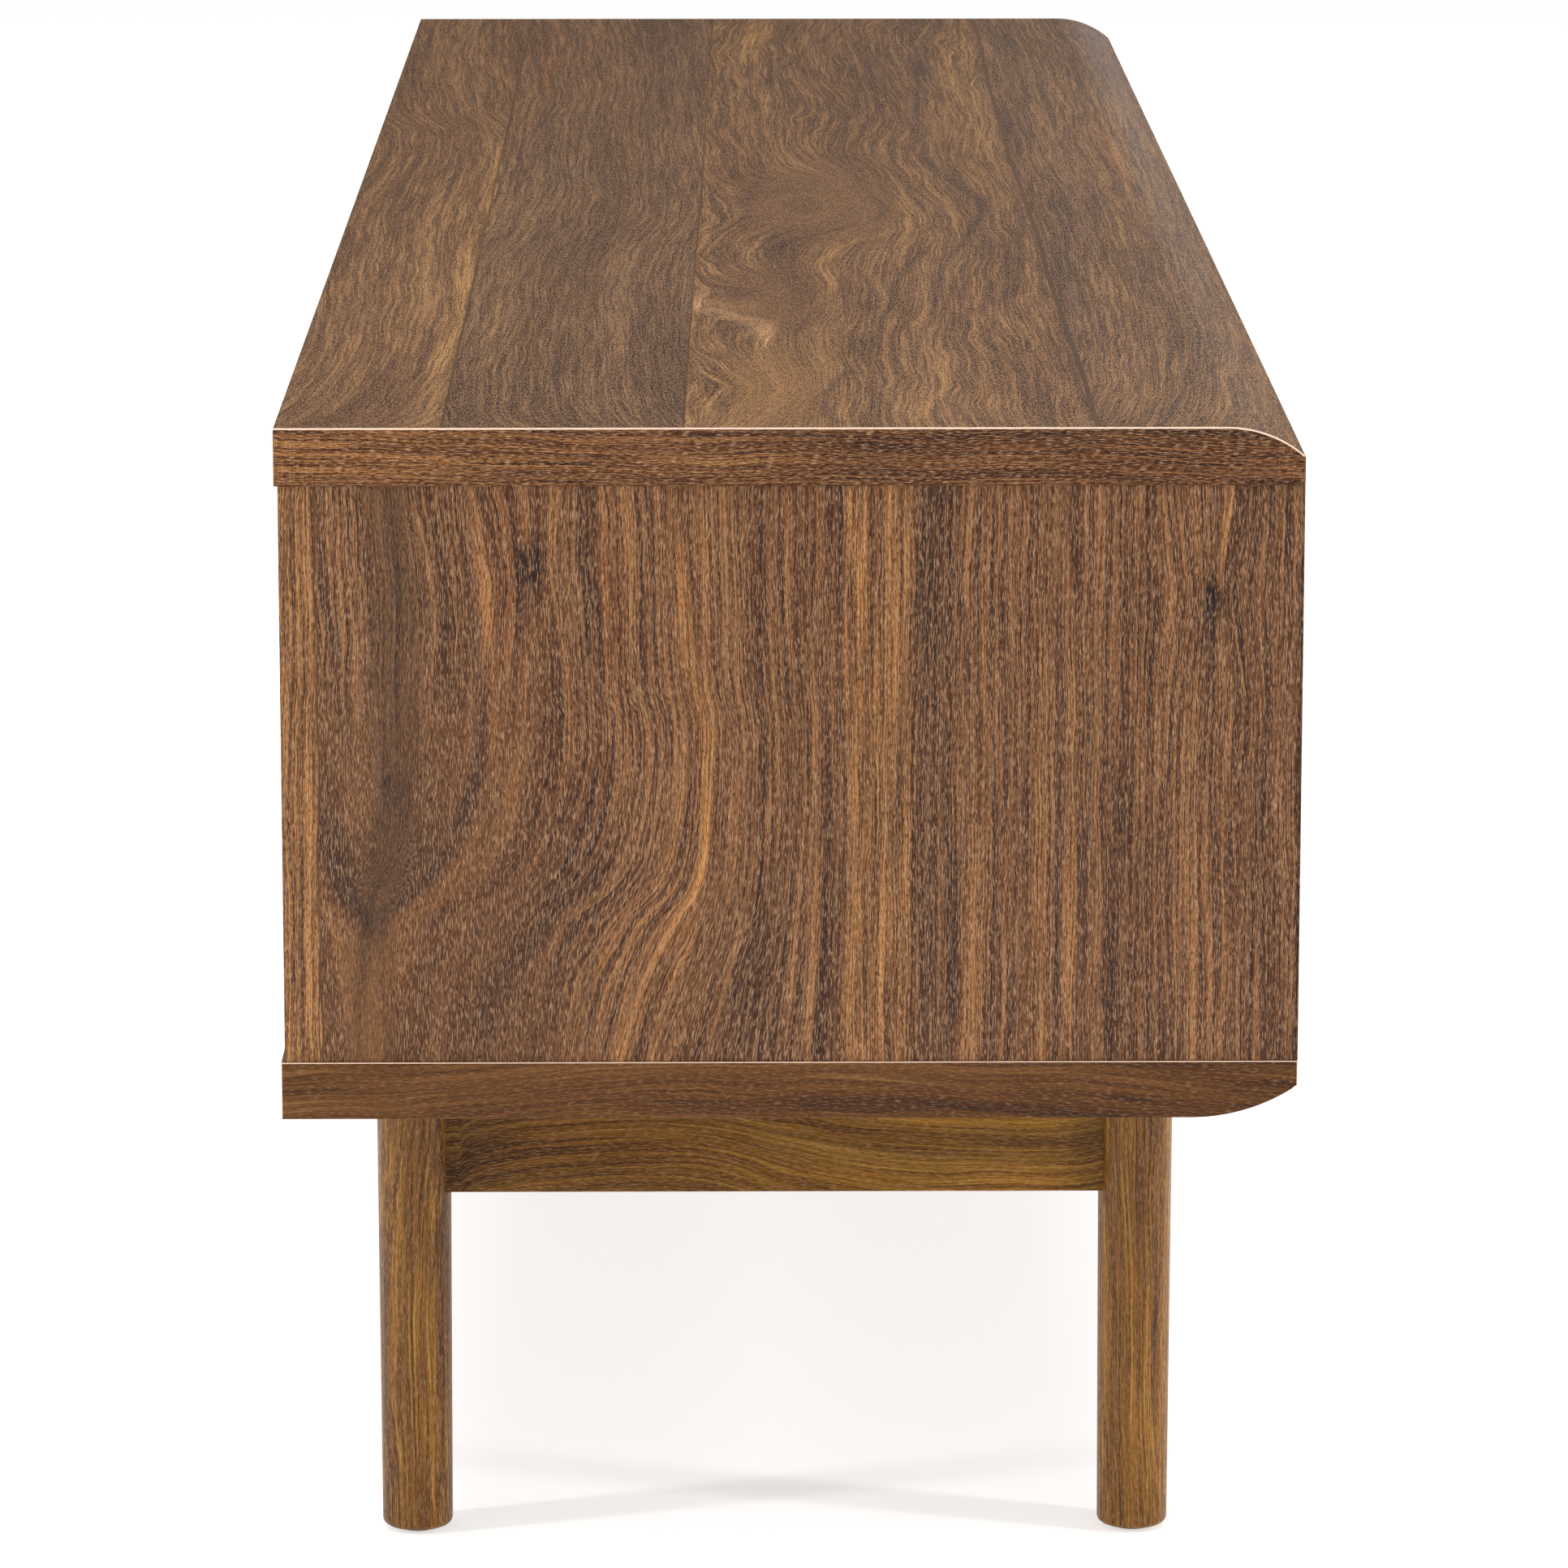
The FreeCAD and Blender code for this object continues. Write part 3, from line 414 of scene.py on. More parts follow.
def eased_outline(corners, steps=3):
    """Replace each corner that has an ease radius with a short arc."""
    points = []
    for index, (y, z, radius) in enumerate(corners):
        here = Vector((y, z))
        if radius == 0.0:
            points.append(here)
            continue
        before = Vector(corners[index - 1][:2])
        after = Vector(corners[(index + 1) % len(corners)][:2])
        to_before = (before - here).normalized()
        to_after = (after - here).normalized()
        half = to_before.angle(to_after) / 2
        centre = here + (to_before + to_after).normalized() * (radius / math.sin(half))
        start = here + to_before * (radius / math.tan(half)) - centre
        end = here + to_after * (radius / math.tan(half)) - centre
        for step in range(steps + 1):
            share = step / steps
            points.append(centre + (start.lerp(end, share)).normalized() * radius)
    return points


def drawn_out(outline, stations):
    """Draw an outline along X through (x, inset) stations and close both ends."""
    shape = bmesh.new()
    count = len(outline)
    turns_left = sum(outline[i - 1].x * outline[i].y - outline[i].x * outline[i - 1].y
                     for i in range(count)) > 0
    inward = []
    for index, here in enumerate(outline):
        along = (outline[(index + 1) % count] - here).normalized() + (here - outline[index - 1]).normalized()
        normal = Vector((-along.y, along.x)).normalized()
        inward.append(normal if turns_left else -normal)
    rings = [[shape.verts.new((x, *(here + normal * inset))) for here, normal in zip(outline, inward)]
             for x, inset in stations]
    for near, far in zip(rings, rings[1:]):
        for index in range(count):
            following = (index + 1) % count
            shape.faces.new([near[index], near[following], far[following], far[index]])
    for ring in (rings[0], rings[-1]):
        shape.faces.new(ring)
    bmesh.ops.recalc_face_normals(shape, faces=shape.faces)
    if shape.calc_volume(signed=True) < 0:
        bmesh.ops.reverse_faces(shape, faces=shape.faces)
    return shape


REAR_SWEEP = ((-0.75, 0.024), (-0.64, 0.001), (-0.50, -0.003), (-0.30, 0.0), (0.0, 0.0), (0.10, -0.003),
              (0.30, 0.015), (0.50, 0.023), (0.75, 0.030))
MIDDLE_SWEEP = ((-0.75, -0.008), (-0.55, 0.006), (-0.30, 0.003), (0.0, -0.008), (0.30, -0.006), (0.75, 0.006))
FRONT_SWEEP = ((-0.75, 0.022), (-0.60, 0.006), (-0.45, 0.0), (0.20, -0.006), (0.75, 0.003))
LEAF_JOINT = ((-0.75, 0.0405), (-0.30, 0.0375), (0.0, 0.0345), (0.30, 0.0330), (0.75, 0.0295))
TONGUE_EDGE = ((-0.52, 0.006), (-0.47, 0.012), (-0.44, 0.026), (-0.39, 0.036))
TONGUE_PALE = (2.0, 2.2, 2.4)
TOP_SHADOWS = (
    ((-0.225, 0.0), (0.022, 0.006), 0.7), ((-0.385, 0.018), (0.022, 0.008), 0.6),
    ((-0.540, -0.033), (0.030, 0.007), 0.6), ((0.49, -0.082), (0.03, 0.005), 0.5),
)
TOP_GOLD = (
    (3.5, 0.9, ((-680, 138), (-450, 138), (-250, 136), (70, 134))),
    (11.0, 0.40, ((-480, 152), (-300, 154), (-100, 148), (60, 142))),
    (2.0, 0.40, ((-620, 119), (-450, 121), (-300, 116), (60, 112))),
    (2.5, 0.35, ((-350, 37), (-150, 33), (100, 33), (400, 31))),
    (9.0, 0.60, ((-60, -104), (60, -99), (300, -98), (620, -104))),
    (5.0, 0.55, ((150, -108), (300, -108), (500, -110), (740, -111))),
    (4.0, 0.55, ((-400, -146), (-300, -148), (-180, -153), (-40, -158))),
    (4.0, 0.45, ((-745, -134), (-690, -141), (-620, -152), (-560, -163))),
    (3.0, 0.40, ((-745, -158), (-690, -166), (-640, -173), (-600, -178))),
    (2.5, 0.50, ((-745, -48), (-700, -55), (-640, -62), (-560, -66))),
    (2.0, 0.35, ((-745, -68), (-680, -76), (-560, -80), (-400, -84))),
    (3.0, 0.55, ((-460, -4), (-420, -13), (-370, -19), (-300, -21))),
    (4.0, 0.60, ((-330, -21), (-250, -24), (-205, -38), (-170, -54))),
    (2.0, 0.40, ((-170, -54), (-120, -60), (-70, -60), (-20, -48))),
    (2.0, 0.45, ((-200, -66), (-120, -80), (-40, -76), (60, -64))),
)
TOP_DARK = (
    (2.2, 0.75, ((-460, -62), (-300, -71), (-190, -84), (-110, -94))),
    (3.2, 0.75, ((-150, -90), (-90, -95), (-20, -86), (80, -76))),
    (3.0, 0.60, ((60, -77), (200, -73), (330, -76), (480, -82))),
    (1.8, 0.60, ((-560, -33), (-450, -42), (-330, -50), (-220, -68))),
    (1.8, 0.55, ((-180, -58), (-110, -72), (-30, -66), (80, -52))),
    (1.8, 0.50, ((40, -40), (150, -36), (320, -42), (500, -56))),
    (2.2, 0.45, ((0, -58), (150, -60), (320, -56), (560, -66))),
    (2.0, 0.60, ((-250, 4), (-215, -2), (-190, -16), (-160, -34))),
    (1.6, 0.45, ((-160, -34), (-130, -46), (-90, -50), (-45, -40))),
    (2.2, 0.50, ((-120, 16), (-60, 14), (0, 8), (70, 4))),
    (3.0, 0.60, ((-735, -20), (-690, -15), (-640, -20), (-590, -30))),
    (5.0, 0.50, ((-480, -126), (-300, -126), (-150, -132), (0, -134))),
    (6.0, 0.40, ((150, -126), (350, -128), (550, -130), (740, -134))),
    (5.0, 0.40, ((-740, -112), (-560, -116), (-400, -120), (-200, -118))),
    (2.5, 0.40, ((340, 8), (450, -2), (560, -20), (700, -40))),
)


def top_figure(finish, length, width, wander):
    """Leaves matched side by side. The front ones hold a burl that the growth lines swell round."""
    wide = width + wander * 0.012
    joint = finish.follow(length, LEAF_JOINT)
    front_of_joint = 1.0 - finish.ease(width - joint, -0.0004, 0.0004)
    rear_leaf = finish.ease(width, 0.1325, 0.1335)
    front_leaf = 1.0 - finish.ease(wide, -0.1180, -0.1160)
    burl = finish.patch(length, wide, (-0.085, -0.020), (0.125, 0.034))
    eye = finish.patch(length, wide, (-0.085, -0.018), (0.055, 0.017))
    tongue = finish.patch(length, wide, (-0.400, 0.004), (0.100, 0.024))
    near_swell = finish.patch(length, wide, (-0.66, 0.004), (0.12, 0.030))
    swell = burl * 0.040 + tongue * 0.030 + near_swell * 0.022 + eye * 0.020
    lines = wide + wander * 0.03 + front_of_joint * swell
    rear_lines = width - finish.follow(length, REAR_SWEEP) + wander * 0.02 + 0.7
    middle_lines = width - finish.follow(length, MIDDLE_SWEEP) + wander * 0.02 + 0.3
    front_lines = width - finish.follow(length, FRONT_SWEEP) + wander * 0.02 + 1.1
    middle_leaf = (1.0 - front_of_joint) * (1.0 - rear_leaf)
    centre_leaf = front_of_joint * (1.0 - front_leaf)
    growth = rear_leaf * rear_lines + middle_leaf * middle_lines
    growth = growth + centre_leaf * lines + front_leaf * front_lines

    # Painted sheen: 1 over the near part of the top, fading out just past the middle.
    near = 1.0 - finish.ease(length, 0.0, 0.22)
    gold = finish.streaks(length, wide, TOP_GOLD)
    gold = gold + near_swell * front_of_joint * 0.7 + eye * 0.35
    gold = gold + finish.patch(length, wide, (0.66, 0.010), (0.13, 0.020)) * front_of_joint * 0.7
    dark = finish.streaks(length, wide, TOP_DARK)
    for place, reach, strength in TOP_SHADOWS:
        dark = dark + finish.patch(length, wide, place, reach) * strength
    # Grey: the leaves' own grey, plus a painted sheen that greys the middle leaf more towards the near end.
    grey = middle_leaf * (near * 0.35 + 0.25) + front_leaf * 0.3 + burl * 0.3
    rust = finish.patch(length, wide, (0.50, 0.121), (0.14, 0.008))
    rust = rust + finish.patch(length, wide, (0.08, -0.166), (0.09, 0.005)) * 0.8
    edge = wide - finish.follow(length, TONGUE_EDGE)
    pale = (edge / 0.006).bell() * finish.patch(length, width, (-0.455, 0.02), (0.05, 0.03))
    pale = pale + finish.patch(length, wide, (-0.505, 0.008), (0.03, 0.003)) * 0.7
    shift = rear_leaf * 0.9 + front_leaf * 0.5 + front_of_joint * 0.2
    calm = front_of_joint * finish.ease(swell, 0.006, 0.020) * 0.8
    stains = ((gold * 1.6, GOLD), (dark * 1.35, PURPLE), (grey, GREY), (rust, RUST),
              (middle_leaf * 0.25, PURPLE), (pale * 1.5, TONGUE_PALE))
    return growth, wide, shift, calm, stains


TOP_TONES = [tint(71, 46, 30), tint(90, 62, 41), tint(109, 77, 51), tint(127, 91, 61), tint(151, 113, 76)]
top_laminate = walnut("top_laminate", "X", TOP_TONES, top_figure, seed=6.0, bands=0.65, threads=1.6,
                      pores=1.3, roughness=0.60, shine=0.03)
bottom_laminate = walnut("bottom_laminate", "X", seed=8.0)
LIPS = {
    "top": {"depth": 0.030, "drop": 0.0114, "track": "upper_track", "laminate": top_laminate},
    "bottom": {"depth": 0.041, "drop": 0.0128, "track": "lower_track", "laminate": bottom_laminate},
}
for name, made in LIPS.items():
    low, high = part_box(name + "_panel")
    # The height of the inner face, then of the outer one.
    made["faces"] = (low.z, high.z) if name == "top" else (high.z, low.z)
    outline = lip_outline(name + "_panel", *made["faces"], made["depth"], made["drop"], made["track"])
    panel = keep(name + "_panel_formed", drawn_out(outline, [(low.x, 0.0), (high.x, 0.0)]), LIP_CREASE)
    fit(panel, "cabinet", "walnut_laminate", made["laminate"], name + "_panel")


# ---- End bands of the top and bottom panels ----------------------------------------------------------------
# One millimetre edge banding, glued to the sawn ends and trimmed flush. Its grain runs front to back. The
# upper trimmed arris carries a fine pale line, partly the band's pale core and partly a painted highlight.

BAND_TONES = [tint(43, 17, 4), tint(68, 34, 13), tint(91, 51, 21), tint(116, 72, 34), tint(146, 98, 54)]
UNDER_TONES = [tint(44, 20, 4), tint(62, 32, 8), tint(84, 49, 15), tint(101, 63, 24), tint(124, 86, 44)]
BAND_THICKNESS = 0.001
ARRIS = {"top": 0.0006, "bottom": 0.00035}
ARRIS_SLANT = (0.3, 0.95)
TRIM_PALE = (1.9, 2.1, 2.4)


def trimmed_figure(finish, length, width, wander):
    """Straight grain, with the short pale cross marks that trimming leaves towards the two ends."""
    grain = width + wander * 0.04
    at_ends = 1.0 - finish.ease(length, -0.195, -0.150) * (1.0 - finish.ease(length, 0.150, 0.192))
    marks = finish.ease(finish.noise(length * 1400, width * 90, 0.0, 1.0), 0.58, 0.64) * at_ends
    return grain, grain, 0.0, 0.0, ((marks * 0.7, TRIM_PALE),)


bands = {"top": walnut("top_band", "Y", BAND_TONES, trimmed_figure, seed=3.0, threads=1.3, pores=1.4),
         "bottom": walnut("bottom_band", "Y", UNDER_TONES, seed=9.0, threads=0.7, pores=0.4)}
# The pale line's finish: the band's pale core colour, which also stands in for a painted highlight.
core = Finish("pale_core_and_highlight")
core_x, core_y, core_z = core.split(core.node("TexCoord", {}, {}, "Object"))
core_mottle = core.noise(core_x * 300, core_y * 300, core_z * 300)
pale_core_and_highlight = core.surface(core.mix(core_mottle, tint(236, 208, 186), tint(205, 168, 140)), 0.45)
for name, made in LIPS.items():
    outline = lip_outline(name + "_panel", *made["faces"], made["depth"], made["drop"], None)
    low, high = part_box(name + "_end_bands")
    middle = (low.z + high.z) / 2
    ends = bmesh.new()
    for side in (-1, 1):
        glued = side * (high.x - BAND_THICKNESS)
        face = side * high.x
        stations = [(glued, 0.0), (face - side * ARRIS[name], 0.0), (face, ARRIS[name])]
        one = drawn_out(outline, stations)
        one_mesh = bpy.data.meshes.new("one_band")
        one.to_mesh(one_mesh)
        one.free()
        ends.from_mesh(one_mesh)
        bpy.data.meshes.remove(one_mesh)
    # Only the slanted arris strips above the middle get the pale line: partly the band's core, partly a
    # painted highlight on the upper edge.
    for strip in ends.faces:
        slanted = ARRIS_SLANT[0] < abs(strip.normal.x) < ARRIS_SLANT[1]
        strip.material_index = 1 if slanted and strip.calc_center_median().z > middle else 0
    band = keep(name + "_end_bands_trimmed", ends, LIP_CREASE)
    fit(band, "cabinet", "edge_band", bands[name], name + "_end_bands")
    band.data.materials.append(pale_core_and_highlight)


# ---- Side panels -------------------------------------------------------------------------------------------
# Laminated particle board standing between the top and bottom panels, held by cam locks and dowels. The
# grain runs upright, with a plume that nests into a downward tongue near the back and two small knots.

SWAY = ((0.205, 0.017), (0.235, 0.011), (0.262, 0.003), (0.298, -0.005), (0.334, -0.006), (0.360, -0.001),
        (0.392, 0.001), (0.435, 0.0))
PLUME_AXIS = ((0.205, 0.163), (0.261, 0.161), (0.290, 0.154), (0.311, 0.152), (0.348, 0.150), (0.435, 0.154))
PLUME_REACH = ((0.205, -0.010), (0.261, 0.0), (0.275, 0.011), (0.290, 0.019), (0.311, 0.026), (0.335, 0.030),
               (0.435, 0.0305))
SIDE_GOLD = (
    (3.2, 0.70, ((212, 62), (234, 51), (257, 41), (297, 33), (334, 33), (357, 38), (392, 41), (433, 41))),
    (2.5, 0.60, ((372, 97), (392, 93), (417, 91), (433, 91))),
    (3.0, 0.55, ((330, 116), (350, 114), (372, 115), (400, 117))),
    (4.0, 0.60, ((249, 146), (262, 131), (286, 116), (300, 108), (330, 107))),
    (2.5, 0.45, ((325, 176), (345, 178), (365, 179), (385, 179))),
    (2.5, 0.55, ((405, -166), (415, -167), (425, -167), (434, -167))),
    (2.0, 0.45, ((408, -157), (415, -158), (425, -158), (434, -158))),
    (3.5, 0.35, ((205, -73), (280, -73), (350, -73), (400, -72))),
    (2.6, 0.35, ((205, -95), (280, -97), (350, -96), (430, -95))),
    (2.4, 0.35, ((205, -108), (280, -108), (350, -109), (400, -109))),
    (2.0, 0.35, ((360, 15), (400, 17), (420, 18), (434, 17))),
    (2.0, 0.30, ((360, 5), (400, 3), (420, 2), (434, 1))),
)
SIDE_DARK = (
    (3.2, 0.75, ((296, 137), (310, 126), (325, 121), (350, 119), (380, 121), (400, 122), (434, 127))),
    (2.4, 0.50, ((385, 150), (400, 150), (418, 151), (434, 153))),
    (2.2, 0.50, ((326, 167), (350, 172), (372, 175), (410, 181))),
    (3.6, 0.60, ((262, 163), (272, 168), (285, 172), (305, 177))),
    (2.6, 0.65, ((360, 81), (375, 78), (385, 76), (400, 78), (434, 82))),
    (5.5, 0.60, ((208, 126), (234, 119), (252, 103), (275, 88), (300, 86))),
    (1.6, 0.55, ((208, 84), (234, 77), (270, 76), (320, 78))),
    (2.4, 0.65, ((205, -54), (260, -53), (340, -51), (434, -54))),
    (4.5, 0.35, ((205, -57), (260, -57), (340, -55), (434, -57))),
    (1.6, 0.65, ((205, -61), (260, -64), (330, -69), (370, -68), (400, -63), (434, -56))),
    (1.4, 0.60, ((205, -78), (300, -79), (380, -77), (420, -79))),
    (1.3, 0.55, ((205, -88), (300, -88), (360, -87), (400, -86))),
    (1.8, 0.70, ((205, -103), (260, -103), (320, -104), (370, -106))),
    (1.5, 0.60, ((205, -112), (290, -114), (350, -116), (390, -118))),
    (1.5, 0.40, ((230, -128), (270, -129), (300, -129), (330, -130))),
    (1.4, 0.50, ((300, -143), (340, -149), (370, -156), (390, -161))),
    (1.2, 0.40, ((205, -183), (300, -183), (400, -184), (434, -183))),
)
KNOTS = (((0.4035, 0.0995), 0.0052), ((0.3900, -0.1615), 0.0046))
KNOT_BROWN = (0.25, 0.20, 0.22)


def side_figure(finish, length, width, wander):
    """A plume whose growth lines nest into a downward tongue, two knots, and golden and dark streaks."""
    wobble = finish.noise(length * 30, width * 30, 2.0, 2.0) - 0.5
    wide = width + wobble * 0.005
    sway = finish.follow(length, SWAY) * ((width - 0.045) / 0.045).bell()
    from_axis = wide - finish.follow(length, PLUME_AXIS)
    nested = (from_axis * from_axis + 0.000036).root() - finish.follow(length, PLUME_REACH) + wander * 0.010
    rear_strip = finish.ease(wide, 0.1808, 0.1816)
    plume = finish.ease(width, 0.010, 0.125) * (1.0 - rear_strip)
    straight = width - sway + wander * 0.012
    growth = straight + plume * (0.125 - nested - straight)

    knots = tails = 0.0
    for place, size in KNOTS:
        knots = knots + finish.patch(length, wide, place, (size * 1.5, size))
        around = finish.patch(length, width, place, (size * 6, size * 3))
        growth = growth + around * (width - place[1]) * 0.8
        tail = finish.patch(length, wide, (place[0] - 0.012, place[1] + 0.001), (0.016, 0.0042))
        tails = tails + tail * 0.7
    in_plume = plume * finish.ease(wide, 0.11, 0.13)
    foot = finish.patch(length, wide, (0.288, 0.152), (0.034, 0.022))
    foot = foot * (1.0 - finish.ease(nested, 0.002, 0.007))
    tip = ((nested - 0.004) / 0.0035).bell() * (1.0 - finish.ease(length, 0.31, 0.34)) * in_plume
    inner = ((nested + 0.021) / 0.0022).bell() * finish.patch(length, wide, (0.320, 0.158), (0.02, 0.016))
    dark = finish.streaks(length, wide, SIDE_DARK) + foot * 0.62 + tip * 0.5 + inner * 0.5 + tails
    crescent = ((nested + 0.0245) / 0.0018).bell()
    crescent = crescent * finish.patch(length, wide, (0.324, 0.160), (0.012, 0.014))
    rim = ((nested - 0.0135) / 0.004).bell() * (1.0 - finish.ease(length, 0.30, 0.34)) * in_plume
    gold_band = finish.ease(wide, -0.050, -0.044) * (1.0 - finish.ease(wide, -0.0215, -0.0205))
    gold = finish.streaks(length, wide, SIDE_GOLD) + gold_band * 0.95 + crescent * 0.9 + rim * 0.7
    gold = gold + rear_strip * 0.55 + finish.patch(length, wide, (0.222, 0.160), (0.03, 0.028)) * 0.35
    grey = finish.patch(length, wide, (0.375, 0.152), (0.055, 0.022)) * 0.9
    grey = grey + finish.patch(length, wide, (0.215, 0.012), (0.05, 0.018)) * 0.9
    rust = finish.patch(length, wide, (0.39, 0.068), (0.05, 0.006))
    rust = rust + finish.patch(length, wide, (0.39, 0.108), (0.05, 0.010)) * 0.6
    edges = 1.0 - finish.ease(width, -0.1975, -0.190)
    shift = plume * finish.ease(from_axis, -0.012, 0.012) * 0.06
    calm = finish.ease(width, 0.055, 0.125) * (1.0 - rear_strip)
    calm = calm * (1.0 - finish.ease(length, 0.33, 0.38)) * 0.8
    stains = ((gold * 1.15, GOLD), (dark * 1.1, PURPLE), (knots * 1.5, KNOT_BROWN),
              (grey, GREY), (rust * 0.7, RUST), (edges * 0.5, PURPLE))
    return growth, straight, shift, calm, stains


BOARD_EASE = 0.0004
side_laminate = walnut("side_laminate", "Z", figure=side_figure, seed=12.0, bands=0.65, threads=1.3,
                       pores=1.1)
plain_upright = walnut("upright_laminate", "Z", seed=21.0)
for node, laminate in (("left_side_panel", side_laminate), ("right_side_panel", plain_upright)):
    fit(eased_copy(node, BOARD_EASE), "cabinet", "walnut_laminate", laminate, node)


# ---- Dividers, shelves and front bands ---------------------------------------------------------------------
# Thinner laminated board: two uprights that part the bays and three loose shelves on pins. Their front edges
# and those of the side panels carry the same edge banding.

shelf_laminate = walnut("shelf_laminate", "X", seed=15.0)
upright_band = walnut("upright_band", "Z", BAND_TONES, seed=17.0)
shelf_band = walnut("shelf_band", "X", BAND_TONES, seed=18.0)
BAND_EASE = 0.0003
for node in ("left_divider", "right_divider"):
    fit(eased_copy(node, BOARD_EASE), "cabinet", "walnut_laminate", plain_upright, node)
for node in ("shelf_left", "shelf_centre", "shelf_right"):
    fit(eased_copy(node, BOARD_EASE), "cabinet", "walnut_laminate", shelf_laminate, node)
for node in ("side_front_bands", "divider_front_bands"):
    fit(eased_copy(node, BAND_EASE), "cabinet", "edge_band", upright_band, node)
fit(eased_copy("shelf_front_bands", BAND_EASE), "cabinet", "edge_band", shelf_band, "shelf_front_bands")


# ---- Backs -------------------------------------------------------------------------------------------------
# Three thin hardboard panels in sawn slots, printed with a plain wood grain, each with a round cable hole.
# The dusty brown of the pressed fibre shows through the print.

BACK_TONES = [tint(70, 50, 38), tint(90, 66, 48), tint(106, 78, 56), tint(120, 90, 66), tint(138, 106, 78)]
BACK_EASE = 0.0003
back_print = walnut("back_print", "Z", BACK_TONES, seed=30.0, bands=0.6, pores=0.6, roughness=0.6)
for node in ("back_panel_left", "back_panel_centre", "back_panel_right"):
    fit(eased_copy(node, BACK_EASE), "cabinet", "back_board", back_print, node)


# ---- Door tracks and stops ---------------------------------------------------------------------------------
# Extruded brown plastic strips with two channels, pressed into the slots above and below, with a small nylon
# block in each lower channel where an open door ends, and soft bumpers where a closed one does.

PEBBLE_DEPTH = 0.00003
TRACK_EASE = 0.0003
STOP_EASE = 0.0004


def moulded(name, colour, grit, roughness, constants=None):
    """Moulded plastic or rubber: a fine pebble, faint flow marks and a slightly uneven polish."""
    finish = Finish(name)
    x, y, z = finish.split(finish.node("TexCoord", {}, {}, "Object"))
    flow = finish.noise(x * 14, y * 90, z * 90, 2.0)
    pebble = finish.noise(x * grit, y * grit, z * grit, 2.0)
    paler = tuple(min(1.0, channel * 1.35 + 0.01) for channel in colour)
    mottled = finish.mix(flow, colour, paler)
    polish = (pebble - 0.5) * 0.2 + (flow - 0.5) * 0.1 + roughness
    return finish.surface(mottled, polish, pebble, PEBBLE_DEPTH, constants)


track_plastic = moulded("track_plastic", tint(62, 46, 38), 900, 0.45)
nylon = moulded("nylon", tint(214, 208, 194), 1200, 0.38, {"Subsurface Weight": 0.1})
bumper_rubber = moulded("bumper_rubber", tint(176, 172, 164), 1500, 0.30)
for node in ("upper_track", "lower_track"):
    fit(eased_copy(node, TRACK_EASE), "cabinet", "track_plastic", track_plastic, node)
fit(eased_copy("track_stops", STOP_EASE), "cabinet", "nylon", nylon, "track_stops")
fit(eased_copy("door_bumpers", STOP_EASE, segments=3), "cabinet", "rubber", bumper_rubber, "door_bumpers")


# ---- Doors -------------------------------------------------------------------------------------------------
# Two framed doors of solid walnut: stiles and rails joined with dowels around a thin board, and a row of
# slats glued to its face. A finger pull is routed in each inner stile.

class Plan:
    """A Geometry Nodes group, with named inputs for its sizes."""

    def __init__(self, name, inputs):
        self.group = bpy.data.node_groups.new(name, "GeometryNodeTree")
        shown = self.group.interface
        self.keys = {}
        for label, kind in inputs.items():
            socket = shown.new_socket(label, in_out="INPUT", socket_type="NodeSocket" + kind)
            self.keys[label] = socket.identifier
        shown.new_socket("Geometry", in_out="OUTPUT", socket_type="NodeSocketGeometry")
        self.start = self.group.nodes.new("NodeGroupInput")
        self.end = self.group.nodes.new("NodeGroupOutput")

    def input(self, label):
        return self.start.outputs[label]

    def node(self, kind, sockets, **settings):
        made = self.group.nodes.new(kind)
        for key, value in settings.items():
            setattr(made, key, value)
        for key, value in sockets.items():
            for source in value if isinstance(value, list) else [value]:
                if isinstance(source, bpy.types.NodeSocket):
                    self.group.links.new(source, made.inputs[key])
                else:
                    made.inputs[key].default_value = source
        return made.outputs[0]

    def finish(self, geometry, material):
        realized = self.node("GeometryNodeRealizeInstances", {"Geometry": geometry})
        painted = self.node("GeometryNodeSetMaterial", {"Geometry": realized, "Material": material})
        self.group.links.new(painted, self.end.inputs["Geometry"])

    def make(self, name, values):
        """Run the group once and keep what it makes as a plain mesh."""
        piece = bpy.data.objects.new(name, bpy.data.meshes.new(name))
        bpy.context.scene.collection.objects.link(piece)
        modifier = piece.modifiers.new("plan", "NODES")
        modifier.node_group = self.group
        for label, value in values.items():
            modifier[self.keys[label]] = value
        view = bpy.context.evaluated_depsgraph_get()
        made = bpy.data.meshes.new_from_object(piece.evaluated_get(view), depsgraph=view)
        made.polygons.foreach_set("use_smooth", [True] * len(made.polygons))
        made.set_sharp_from_angle(angle=math.radians(CREASE))
        piece.modifiers.clear()
        piece.data = made
        return piece


slat_plan = Plan("slat_row", {
    "First": "Vector", "Pitch": "Float", "Slats": "Int", "Width": "Float", "Thickness": "Float",
    "Height": "Float", "Edge Radius": "Float", "Finish": "Material",
})
ARC_STEPS = 3
rectangle = slat_plan.node("GeometryNodeCurvePrimitiveQuadrilateral",
                           {"Width": slat_plan.input("Width"), "Height": slat_plan.input("Thickness")})
section = slat_plan.node("GeometryNodeFilletCurve",
                         {"Curve": rectangle, "Radius": slat_plan.input("Edge Radius"), "Count": ARC_STEPS},
                         mode="POLY")
end_face = slat_plan.node("GeometryNodeFillCurve", {"Curve": section}, mode="NGONS")
sides = slat_plan.node("GeometryNodeExtrudeMesh",
                       {"Mesh": end_face, "Offset Scale": slat_plan.input("Height"), "Individual": False})
far_face = slat_plan.node("GeometryNodeFlipFaces", {"Mesh": end_face})
slat = slat_plan.node("GeometryNodeJoinGeometry", {"Geometry": [sides, far_face]})
slat = slat_plan.node("GeometryNodeMergeByDistance", {"Geometry": slat, "Distance": MERGE_DISTANCE})
step = slat_plan.node("ShaderNodeCombineXYZ", {"X": slat_plan.input("Pitch")})
